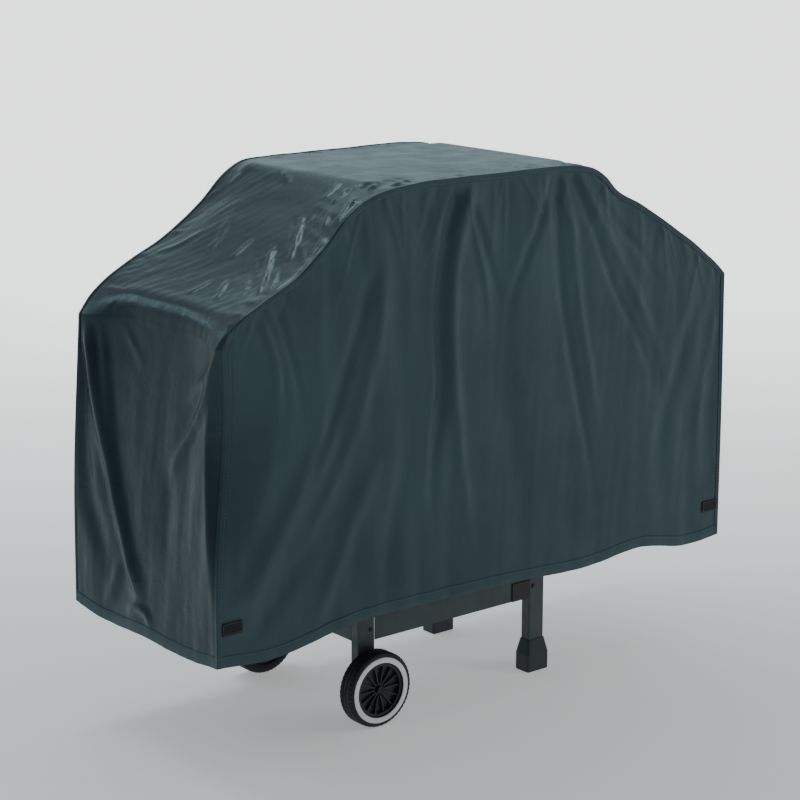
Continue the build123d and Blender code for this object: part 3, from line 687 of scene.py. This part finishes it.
    def normals(self, points):
        """Outward unit normals of a grid of points (rows left to right, columns front to back)."""
        along = np.gradient(points, axis=0)
        across = np.gradient(points, axis=1)
        return unit(np.cross(along, across))

    def lay_panel(self, seam, y, hem_line, folds):
        """A panel between its seam and its hem, as columns from left to right and rows going up."""
        left = seam[: self.side]
        top = seam[self.side - 1: self.side - 1 + self.over]
        right = seam[self.side - 2 + self.over:][::-1]
        x = np.interp(np.linspace(0, 1, self.over), [0, 1], [left[0, 0], right[0, 0]])
        bottom = np.stack([x, np.full(self.over, y), self.hem_height(hem_line, x)], axis=1)
        bottom[0], bottom[-1] = left[0], right[0]
        u = np.linspace(0, 1, self.over)[:, None, None]
        v = np.linspace(0, 1, self.side)[None, :, None]
        patch = (
            (1 - u) * left[None] + u * right[None] + (1 - v) * bottom[:, None] + v * top[:, None]
            - (1 - u) * (1 - v) * left[0] - u * (1 - v) * right[0]
            - (1 - u) * v * left[-1] - u * v * right[-1]
        )
        inside = np.ones(patch.shape[:2])
        inside[0] = inside[-1] = inside[:, -1] = 0
        facing = -1 if y < 0 else 1
        x, z = patch[..., 0], patch[..., 2]
        if y < 0:
            # Undo the blend's share of the hollow and put the corner's own shape in its place.
            fall_edge = (left[:, 1] - y)[None]
            patch[..., 0] -= (1 - u[..., 0]) * fall_edge
            away = patch[..., 0] - (left[:, 0] - (left[:, 1] - y))[None]
            fall = self.hollow(away, z, FRONT_HOLLOW)
            patch[..., 0] += fall
            patch[..., 1] = y + fall
        else:
            patch[..., 1] = y
        patch[0] = left
        patch[-1] = right
        patch[:, -1] = top
        edge = (
            smoothstep((z[:, -1:] - z) / 0.03)
            * smoothstep((x - x[:1]) / 0.04)
            * smoothstep((x[-1:] - x) / 0.04)
        )
        belly = smoothstep((x - LEFT) / 0.45) * smoothstep((RIGHT - x) / 0.45)
        belly = belly * smoothstep((z - HEM) / 0.5) * smoothstep((z[:, -1:] - z) / 0.15)
        proud = folds(x, z) * cover_settings().fold_depth + 0.011 * belly
        patch[..., 1] += facing * proud * edge * inside
        out = np.zeros(patch.shape)
        out[..., 1] = facing
        return rest_on_grill(patch, out, inside)

    def front_folds(self, x, z):
        """How proud the front panel stands at each place."""
        total = np.zeros(x.shape)
        for path, height, width, start, stop in FRONT_FOLDS:
            total += fold(x, z, path, height, width, start, stop)
        return self.slack(total, x, z, "front", ((0.0070, 0.30), (0.0032, 0.11)), 31, 13)

    def back_folds(self, x, z):
        """How proud the back panel stands: some of the front's folds, seen in a mirror."""
        total = np.zeros(x.shape)
        for path, height, width, start, stop in FRONT_FOLDS[:8]:
            mirrored = [(-0.9 * px + 0.03, pz) for px, pz in path]
            total += fold(x, z, mirrored, 0.8 * height, 1.15 * width, start, stop)
        return self.slack(total, x, z, "rear", ((0.0080, 0.32), (0.0036, 0.12)), 41, 14)

    def slack(self, folds, x, z, end, waves, seed, seam_seed):
        """Adds slow waves and puckers to a panel's folds, and keeps the cloth flat at its tabs."""
        (slow, slow_size), (quick, quick_size) = waves
        total = folds + slow * ripple(x, z, seed, slow_size, 1.6)
        total += quick * ripple(x, z, seed + 1, quick_size, 0.7)
        total += 0.0008 * ripple(x, z, seed + 2, 0.045, 0.3)
        total += seam_puckers(x, z[:, -1:] - z, seam_seed, 70, 0.16) * 1.2
        for tab in (f"{end}_left_tab", f"{end}_right_tab"):
            lo, hi = low(tab), high(tab)
            gap_x = np.maximum(np.maximum(lo[0] - x, x - hi[0]), 0)
            gap_z = np.maximum(np.maximum(lo[2] - z, z - hi[2]), 0)
            total = total * smoothstep(np.hypot(gap_x, gap_z) / 0.06)
        return total


_drape = []


def drape():
    """The cover's shape, worked out once."""
    if not _drape:
        _drape.append(Drape())
    return _drape[0]


# ---- the cover ----------------------------------------------------------------------------------

def cloth_piece(name, points, flip, node, look):
    """A sheet of cloth from a grid of points, with its thickness to the inside."""
    rows, columns = points.shape[:2]
    faces = grid_faces(rows, columns)
    if flip:
        faces = faces[:, ::-1]
    piece = mesh_piece(name, points.reshape(-1, 3), faces, finish(look))
    shell = piece.modifiers.new("thickness", "SOLIDIFY")
    shell.thickness = cover_settings().thickness
    shell.offset = -1.0
    apply_modifiers(piece)
    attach(piece, "cover")
    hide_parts(node)
    return piece


class COVER_OT_panels(bpy.types.Operator):
    """The three sheets of vinyl: the strip over the ends and the top, the front and the back"""

    bl_idname = "cover.panels"
    bl_label = "Vinyl panels"

    def execute(self, context):
        shape = drape()
        # The top and the ends get the darker copy of the vinyl, and the front and the back get the lighter
        # one: painted shade and painted light on one cloth.
        top = cloth_piece("cover_top_and_ends", shape.strip, True, "top_panel", "vinyl")
        front = cloth_piece("cover_front", shape.front, True, "front_panel", "lit_panel_vinyl")
        back = cloth_piece("cover_back", shape.back, False, "back_panel", "lit_panel_vinyl")
        return {"FINISHED"}


def loft(name, rings, material, closed=False):
    """A skin over rings of points, closed into a tube round each ring."""
    rows, columns = rings.shape[:2]
    if closed:
        faces = grid_faces(rows + 1, columns, wrap=True) % (rows * columns)
        return mesh_piece(name, rings.reshape(-1, 3), faces, material)
    faces = [list(f) for f in grid_faces(rows, columns, wrap=True)]
    faces.append(list(range(columns))[::-1])
    faces.append([(rows - 1) * columns + k for k in range(columns)])
    return mesh_piece(name, rings.reshape(-1, 3), faces, material)


def running_mean(values, reach):
    """Values along a line, each averaged with its neighbours."""
    padded = np.concatenate([values[:1].repeat(reach, 0), values, values[-1:].repeat(reach, 0)])
    total = np.cumsum(np.concatenate([np.zeros((1, values.shape[1])), padded]), axis=0)
    return (total[2 * reach + 1:] - total[: -2 * reach - 1]) / (2 * reach + 1)


def beside_seam(seam, inner, sure):
    """The seam's direction, and the way into the cloth beside it, carried over unsure places."""
    tangent = unit(running_mean(np.gradient(seam, axis=0), 3))
    into = inner - seam
    into = into - (into * tangent).sum(axis=1, keepdims=True) * tangent
    order = np.arange(len(seam))
    into = read_at(order, order[sure], unit(into)[sure])
    into = running_mean(into, 4)
    into = into - (into * tangent).sum(axis=1, keepdims=True) * tangent
    return tangent, unit(into)


def stitches(name, centres, along, out, length, material):
    """A row of short raised stitches."""
    ring = np.array([(-0.5, 0), (-0.3, 0.5), (0.3, 0.5), (0.5, 0), (0.3, -0.5), (-0.3, -0.5)])
    side = unit(np.cross(out, along))
    points, faces = [], []
    for c, a, o, s in zip(centres, along, out, side):
        start = len(points)
        for lift, grow in ((0.0, 1.0), (0.00045, 0.82)):
            for u, v in ring:
                points.append(c + a * u * length * grow + s * v * 0.0011 * grow + o * lift)
        for k in range(6):
            j = (k + 1) % 6
            faces.append([start + k, start + j, start + 6 + j, start + 6 + k])
        faces.append([start + 6 + k for k in range(6)])
        faces.append([start + k for k in range(6)][::-1])
    return mesh_piece(name, points, faces, material)


class COVER_OT_seams(bpy.types.Operator):
    """Folded tape over the two seams, with a row of stitches in it"""

    bl_idname = "cover.seams"
    bl_label = "Seam tape"

    def execute(self, context):
        shape = drape()
        width = cover_settings().tape_width
        pitch = cover_settings().stitch
        beside, tape_step, corner_reach = 0.022, 0.004, 0.030
        reach = max(2, int(round(beside / cover_settings().cell)))
        for name, column, grid, facing in (
            ("front", 0, shape.front, 1), ("back", -1, shape.back, -1),
        ):
            seam = shape.strip[:, column]
            lengths = distances(seam)
            run = float(lengths[-1])
            count = int(run / tape_step)
            at = np.linspace(0, run, count)
            panel_line = np.concatenate([
                grid[reach, : shape.side], grid[1:-1, -1 - reach], grid[-1 - reach, : shape.side][::-1],
            ])
            strip_line = shape.strip[:, reach if facing > 0 else -1 - reach]
            turns = lengths[[shape.side - 1, shape.side - 2 + shape.over]]
            sure = np.abs(at[:, None] - turns).min(axis=1) > corner_reach
            line = read_at(at, lengths, seam)
            tangent, panel_in = beside_seam(line, read_at(at, lengths, panel_line), sure)
            tangent, strip_in = beside_seam(line, read_at(at, lengths, strip_line), sure)
            panel_out = -facing * np.cross(tangent, panel_in)
            strip_out = facing * np.cross(tangent, strip_in)
            corner = unit(panel_out + strip_out)
            rise, under, turn, eased = 0.0013, 0.0001, 0.0065, 0.0008
            middle = 0.0006
            rings = [
                line + into * across + out * up
                for into, out, across, up in (
                    (panel_in, panel_out, width, under),
                    (panel_in, panel_out, width, 0.7 * rise),
                    (panel_in, panel_out, width - eased, rise),
                    (panel_in, panel_out, middle, rise),
                    (corner, corner, 0, 1.25 * rise),
                    (strip_in, strip_out, middle, rise),
                    (strip_in, strip_out, turn - eased, rise),
                    (strip_in, strip_out, turn, 0.7 * rise),
                    (strip_in, strip_out, turn, under),
                    (corner, corner, 0, -0.0004),
                )
            ]
            rings = np.stack(rings, axis=1)
            tape = loft(f"{name}_seam_tape", rings, finish("seam_tape"))
            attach(tape, "cover")
            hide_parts(f"{name}_seam_binding")

            pick = np.linspace(2, count - 3, int(run / pitch)).astype(int)
            row = stitches(
                f"{name}_seam_stitches",
                line[pick] + panel_in[pick] * (width - 0.003) + panel_out[pick] * rise,
                tangent[pick], panel_out[pick], 0.62 * pitch, finish("thread"),
            )
            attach(row, "cover")
        return {"FINISHED"}


class COVER_OT_hem(bpy.types.Operator):
    """The hem, turned up and sewn down with a row of stitches"""

    bl_idname = "cover.hem"
    bl_label = "Hem"

    def execute(self, context):
        shape = drape()
        settings = cover_settings()
        up_rows = max(1, int(round(settings.hem_width / settings.cell)))
        loop = np.concatenate([
            shape.front[:-1, 0], shape.strip[-1, :-1], shape.back[::-1][:-1, 0], shape.strip[0, ::-1][:-1],
        ])
        above = np.concatenate([
            shape.front[:-1, up_rows], shape.strip[-1 - up_rows, :-1],
            shape.back[::-1][:-1, up_rows], shape.strip[up_rows, ::-1][:-1],
        ])
        up = unit(above - loop)
        along = unit(np.roll(loop, -1, axis=0) - np.roll(loop, 1, axis=0))
        out = unit(np.cross(along, up))
        thick = settings.thickness
        tall = settings.hem_width
        profile = (
            (0.0008, tall), (0.0010, tall - 0.0010), (0.0008, -0.0006), (0.0002, -0.0013),
            (-thick - 0.0008, -0.0013), (-thick - 0.0014, -0.0006), (-thick - 0.0014, tall),
            (-thick - 0.0002, tall), (-thick - 0.0002, 0.0004), (0.0001, 0.0004), (0.0001, tall),
        )
        over, rise = np.array(profile).T[:, None, :, None]
        rings = loop[:, None] + over * out[:, None] + rise * up[:, None]
        turning = loft("hem_turning", rings, finish("lit_panel_vinyl"), closed=True)
        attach(turning, "cover")
        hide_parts("hem_tape")

        lengths = distances(np.concatenate([loop, loop[:1]]))
        number = int(lengths[-1] / settings.stitch)
        at = np.linspace(0, lengths[-1], number, endpoint=False)
        level = loop + up * (settings.hem_width - 0.004) + out * 0.0008

        def sample(values):
            return read_at(at, lengths, np.concatenate([values, values[:1]]))

        row = stitches(
            "hem_stitches", sample(level), unit(sample(along)), unit(sample(out)),
            0.62 * settings.stitch, finish("thread"),
        )
        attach(row, "cover")
        return {"FINISHED"}


def rounded_plate(name, lo, hi, radius, material, edge=0.0003):
    """A thin plate in the XZ plane with rounded corners and eased edges."""
    lo, hi = np.asarray(lo, float), np.asarray(hi, float)
    corner = []
    for cx, cz, first in (
        (hi[0] - radius, hi[2] - radius, 0), (lo[0] + radius, hi[2] - radius, 1),
        (lo[0] + radius, lo[2] + radius, 2), (hi[0] - radius, lo[2] + radius, 3),
    ):
        for step in range(6):
            angle = (first + step / 5) * math.pi / 2
            corner.append((cx + radius * math.cos(angle), cz + radius * math.sin(angle)))
    corner = np.array(corner)
    middle = (lo + hi) / 2
    rings = []
    for y, shrink in ((lo[1], edge), (lo[1] + edge, 0), (hi[1] - edge, 0), (hi[1], edge)):
        scale_x = 1 - 2 * shrink / (hi[0] - lo[0])
        scale_z = 1 - 2 * shrink / (hi[2] - lo[2])
        rings.append([
            (middle[0] + (cx - middle[0]) * scale_x, y, middle[2] + (cz - middle[2]) * scale_z)
            for cx, cz in corner
        ])
    count = len(corner)
    points = np.array(rings).reshape(-1, 3)
    faces = [list(f) for f in grid_faces(4, count, wrap=True)]
    faces.append(list(range(count))[::-1])
    faces.append([3 * count + k for k in range(count)])
    return mesh_piece(name, points, faces, material, smooth=False)


class COVER_OT_tabs(bpy.types.Operator):
    """The hook and loop tabs at the corners, and the patches that they close on"""

    bl_idname = "cover.tabs"
    bl_label = "Corner tabs"

    def execute(self, context):
        for end, facing in (("front", -1), ("rear", 1)):
            for side in ("left", "right"):
                tab_node, patch_node = f"{end}_{side}_tab", f"{end}_{side}_patch"
                tab = rounded_plate(
                    f"{tab_node}_tape", low(tab_node), high(tab_node), 0.004, finish("hook_tape")
                )
                patch = rounded_plate(
                    f"{patch_node}_tape", low(patch_node), high(patch_node), 0.002,
                    finish("hook_tape"), edge=0.0002,
                )
                lo, hi = low(tab_node), high(tab_node)
                face = lo[1] if facing < 0 else hi[1]
                inset = 0.003
                corners = np.array([
                    (lo[0] + inset, face, lo[2] + inset), (hi[0] - inset, face, lo[2] + inset),
                    (hi[0] - inset, face, hi[2] - inset), (lo[0] + inset, face, hi[2] - inset),
                    (lo[0] + inset, face, lo[2] + inset),
                ])
                line = evenly(corners, 37)
                along = unit(np.roll(line, -1, axis=0) - line)[:-1]
                middle = (line[:-1] + line[1:]) / 2
                out = np.repeat([[0.0, facing, 0.0]], len(middle), axis=0)
                sewing = stitches(
                    f"{tab_node}_stitches", middle, along, out, 0.0026, finish("thread")
                )
                for piece, body in ((tab, tab_node), (sewing, tab_node), (patch, "cover")):
                    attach(piece, body)
                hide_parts(tab_node)
                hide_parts(patch_node)
        return {"FINISHED"}


# ---- wheels, cart and grill ---------------------------------------------------------------------

def tyre_profile(half, tread, seat, ring_in, ring_out, ring_deep, outward):
    """Round shouldered tyre with two grooves in the tread and a groove for the white ring."""
    shoulder = 0.009
    points = [(-half + 0.003, seat)]
    points += [(-half, seat + 0.003), (-half, tread - shoulder)]
    for step in range(1, 7):
        angle = math.pi / 2 * step / 6
        points.append((
            -half + shoulder * (1 - math.cos(angle)), tread - shoulder * (1 - math.sin(angle)),
        ))
    for groove in (-0.0055, 0.0055):
        points += [
            (groove - 0.0016, tread), (groove - 0.0009, tread - 0.0022),
            (groove + 0.0009, tread - 0.0022), (groove + 0.0016, tread),
        ]
    for step in range(0, 6):
        angle = math.pi / 2 * step / 6
        points.append((
            half - shoulder * (1 - math.sin(angle)) if step else half - shoulder,
            tread - shoulder * (1 - math.cos(angle)),
        ))
    points += [
        (half, tread - shoulder), (half, ring_out), (half - ring_deep, ring_out),
        (half - ring_deep, ring_in), (half, ring_in), (half, seat + 0.0006), (half - 0.0006, seat),
    ]
    return [(along * outward, radius) for along, radius in points]


class CART_OT_wheels(bpy.types.Operator):
    """Tyres with their white rings, and the finish of the rims"""

    bl_idname = "cart.wheels"
    bl_label = "Wheels"

    def execute(self, context):
        notches = cart_settings().grooves
        for end, outward in (("front", -1), ("rear", 1)):
            lo, hi = low(f"{end}_tyre"), high(f"{end}_tyre")
            centre = (lo + hi) / 2
            half, tread = (hi[1] - lo[1]) / 2, (hi[2] - lo[2]) / 2
            rim_lo, rim_hi = low(f"{end}_rim"), high(f"{end}_rim")
            seat = (rim_hi[2] - rim_lo[2]) / 2 + 0.0001
            ring_lo, ring_hi = low(f"{end}_whitewall"), high(f"{end}_whitewall")
            ring_out = (ring_hi[2] - ring_lo[2]) / 2
            ring_in = ring_out - 0.0128
            face = (ring_hi[1] if outward > 0 else ring_lo[1]) - centre[1]

            def tread_shape(along, radius, angle):
                near_edge = smoothstep((np.abs(along) - 0.010) / 0.004) * (radius > tread - 0.010)
                notch = smoothstep((np.cos(angle * notches) - 0.55) / 0.3)
                return along, radius - 0.0014 * near_edge * notch

            tyre = turned(
                f"{end}_tyre_rubber",
                tyre_profile(half, tread, seat, ring_in - 0.0001, ring_out + 0.0001, 0.002, outward),
                centre, (0, 1, 0), finish("rubber"), steps=notches * 8, shape=tread_shape,
            )
            base = outward * (half - 0.0019)
            easing = outward * 0.0007
            ring = turned(
                f"{end}_white_ring",
                [(base, ring_in), (face - easing, ring_in), (face, ring_in + 0.0012),
                 (face + easing * 0.4, (ring_in + ring_out) / 2), (face, ring_out - 0.0012),
                 (face - easing, ring_out), (base, ring_out)],
                centre, (0, 1, 0), finish("white_ring"), steps=144,
            )
            for piece, node, slot in (
                (tyre, f"{end}_tyre", "tyre_rubber"), (ring, f"{end}_whitewall", "whitewall"),
            ):
                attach(piece, f"{end}_wheel")
                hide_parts(node)
            give_finish("rim", f"{end}_rim")
        return {"FINISHED"}


def give_finish(name, *nodes):
    """Puts a finish on nodes of the frame, whose shape stays as it is."""
    for node in nodes:
        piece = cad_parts[node]
        for slot in piece.material_slots:
            slot.material = finish(name)


class CART_OT_frame(bpy.types.Operator):
    """Finishes of the legs, boots, tray, wheel bolts and fastenings"""

    bl_idname = "cart.frame"
    bl_label = "Cart"

    def execute(self, context):
        ends, sides = ("front", "rear"), ("left", "right")
        give_finish("paint", *[f"{end}_{side}_leg" for end in ends for side in sides])
        give_finish("paint", *[f"{end}_{side}_brace" for end in ends for side in sides])
        give_finish("paint", *[f"{place}_rail" for place in ends + sides])
        give_finish("paint", "bottom_shelf")
        give_finish("boot", "front_boot", "rear_boot", "front_axle_spacer", "rear_axle_spacer")
        give_finish("black_plastic", "front_corner_cap", "rear_corner_cap")
        give_finish("steel", "wheel_bolts", "shelf_clips")
        give_finish("black_steel", "front_axle_cap", "rear_axle_cap")
        give_finish("enamel", "leg_bolts")
        return {"FINISHED"}


class GRILL_OT_body(bpy.types.Operator):
    """Finishes of the hood, firebox, control panel, knobs and side shelves"""

    bl_idname = "grill.body"
    bl_label = "Grill"

    def execute(self, context):
        give_finish("enamel", "hood", "firebox")
        give_finish("black_plastic", "hood_handle", "left_knob", "middle_knob", "right_knob")
        give_finish("steel", "hood_hinges")
        give_finish("brass", "valves")
        give_finish("paint", "control_panel")
        give_finish("resin", "left_shelf", "right_shelf")
        return {"FINISHED"}


# ---- stage --------------------------------------------------------------------------------------

def soft_light(name, place, target, width, height, power, colour=(1, 1, 1)):
    """A rectangular light that faces a target."""
    data = bpy.data.lights.new(name, "AREA")
    data.shape = "RECTANGLE"
    data.size, data.size_y = width, height
    data.energy = power
    data.color = colour
    lamp = bpy.data.objects.new(name, data)
    lamp.location = place
    lamp.rotation_euler = (Vector(target) - Vector(place)).to_track_quat("-Z", "Y").to_euler()
    bpy.context.scene.collection.objects.link(lamp)


class STAGE_OT_studio(bpy.types.Operator):
    """Pale floor, soft lights and the camera"""

    bl_idname = "stage.studio"
    bl_label = "Studio"

    def execute(self, context):
        scene = context.scene
        size = 60.0
        floor = mesh_piece(
            "studio_floor",
            [(-size, -size, 0), (size, -size, 0), (size, size, 0), (-size, size, 0)],
            [(0, 1, 2, 3)], self.floor_material(),
        )
        floor.location = (0, 0, -0.0005)

        world = bpy.data.worlds.new("studio")
        world.use_nodes = True
        nodes, links = world.node_tree.nodes, world.node_tree.links
        sky = nodes["Background"]
        sky.inputs["Color"].default_value = (0.84, 0.96, 1.0, 1)
        where = nodes.new("ShaderNodeTexCoord")
        ahead = nodes.new("ShaderNodeVectorMath")
        ahead.operation = "DOT_PRODUCT"
        ahead.inputs[1].default_value = (0.60, 0.74, 0.30)
        links.new(where.outputs["Generated"], ahead.inputs[0])
        glow = nodes.new("ShaderNodeMapRange")
        for key, value in (("From Min", -0.8), ("From Max", 1.0), ("To Min", 0.10), ("To Max", 0.55)):
            glow.inputs[key].default_value = value
        links.new(ahead.outputs["Value"], glow.inputs["Value"])
        links.new(glow.outputs["Result"], sky.inputs["Strength"])
        scene.world = world

        soft_light("back_panel", (3.8, 4.7, 3.4), (0.3, 0.3, 1.0), 7.0, 2.6, 28, (0.50, 0.92, 1.0))
        soft_light("overhead", (-0.6, 1.3, 3.2), (-0.4, 0.0, 1.1), 1.8, 0.45, 20, (0.80, 0.95, 1.0))
        soft_light("right_window", (3.4, -3.6, 2.4), (0.0, -0.2, 0.7), 1.8, 2.4, 34)
        soft_light("left_window", (-2.6, 4.0, 2.7), (-0.7, 0.0, 0.9), 0.6, 1.4, 15, (0.66, 0.92, 1.0))

        data = bpy.data.cameras.new("camera")
        data.sensor_width = 36.0
        data.lens = 99.4
        data.clip_end = 200.0
        camera = bpy.data.objects.new("camera", data)
        camera.location = (-3.222, -3.937, 1.926)
        yaw, pitch = math.radians(38.98), math.radians(13.69)
        camera.rotation_euler = (math.pi / 2 - pitch, 0, -yaw)
        scene.collection.objects.link(camera)
        scene.camera = camera
        return {"FINISHED"}

    def floor_material(self):
        """Pale paint with painted light: its emission grows more and more behind the object, a glow in
        place of a lamp on the floor.
        """
        paint = Recipe("glowing_pale_floor", (0.9, 0.9, 0.9), 0.9, 0.1)
        paint.mottle(0.88 / 0.9, 0.92 / 0.9, 0.7)
        far, aside = (
            paint.add("ShaderNodeVectorMath", {0: paint.place, 1: way}, operation="DOT_PRODUCT")
            for way in ((0.63, 0.777, 0.0), (-0.777, 0.63, 0.0))
        )
        beyond = paint.add("ShaderNodeMath", {0: aside.outputs["Value"], 1: -1.5}, operation="ADD")
        off_side = paint.add("ShaderNodeMath", {0: beyond.outputs[0], 1: 0.0}, operation="MAXIMUM")
        reach = paint.add("ShaderNodeMath", {
            0: off_side.outputs[0], 1: -0.9, 2: far.outputs["Value"],
        }, operation="MULTIPLY_ADD")
        glow = paint.add("ShaderNodeMapRange", {
            "Value": reach.outputs[0], "From Min": -0.5, "From Max": 6.0,
            "To Min": 0.32, "To Max": 1.9,
        }, interpolation_type="SMOOTHSTEP")
        # Painted light: the floor emits, weakly near and in front of the object and strongly behind it.
        paint.set("Emission Color", (1, 1, 1, 1))
        paint.links.new(glow.outputs["Result"], paint.shader.inputs["Emission Strength"])
        return paint.material


# ---- the add-on ---------------------------------------------------------------------------------

class COVER_PT_sidebar(bpy.types.Panel):
    """Everything that makes the cover, the cart and the stage"""

    bl_idname = "COVER_PT_sidebar"
    bl_label = "Grill Cover"
    bl_space_type = "VIEW_3D"
    bl_region_type = "UI"
    bl_category = "Grill Cover"

    def draw(self, context):
        column = self.layout.column()
        for settings in (context.scene.grill_cover, context.scene.grill_cart):
            for name in settings.bl_rna.properties.keys():
                if name not in ("rna_type", "name"):
                    column.prop(settings, name)
        for step in STEPS:
            column.operator(step.bl_idname)


STEPS = (
    STAGE_OT_studio, COVER_OT_panels, COVER_OT_seams, COVER_OT_hem, COVER_OT_tabs,
    CART_OT_wheels, CART_OT_frame, GRILL_OT_body,
)
CLASSES = (CoverSettings, CartSettings) + STEPS + (COVER_PT_sidebar,)


def register():
    for item in CLASSES:
        bpy.utils.register_class(item)
    bpy.types.Scene.grill_cover = bpy.props.PointerProperty(type=CoverSettings)
    bpy.types.Scene.grill_cart = bpy.props.PointerProperty(type=CartSettings)


def unregister():
    del bpy.types.Scene.grill_cart
    del bpy.types.Scene.grill_cover
    for item in reversed(CLASSES):
        bpy.utils.unregister_class(item)


def main():
    register()
    for step in STEPS:
        group, name = step.bl_idname.split(".")
        getattr(getattr(bpy.ops, group), name)()


if __name__ == "__main__":
    main()
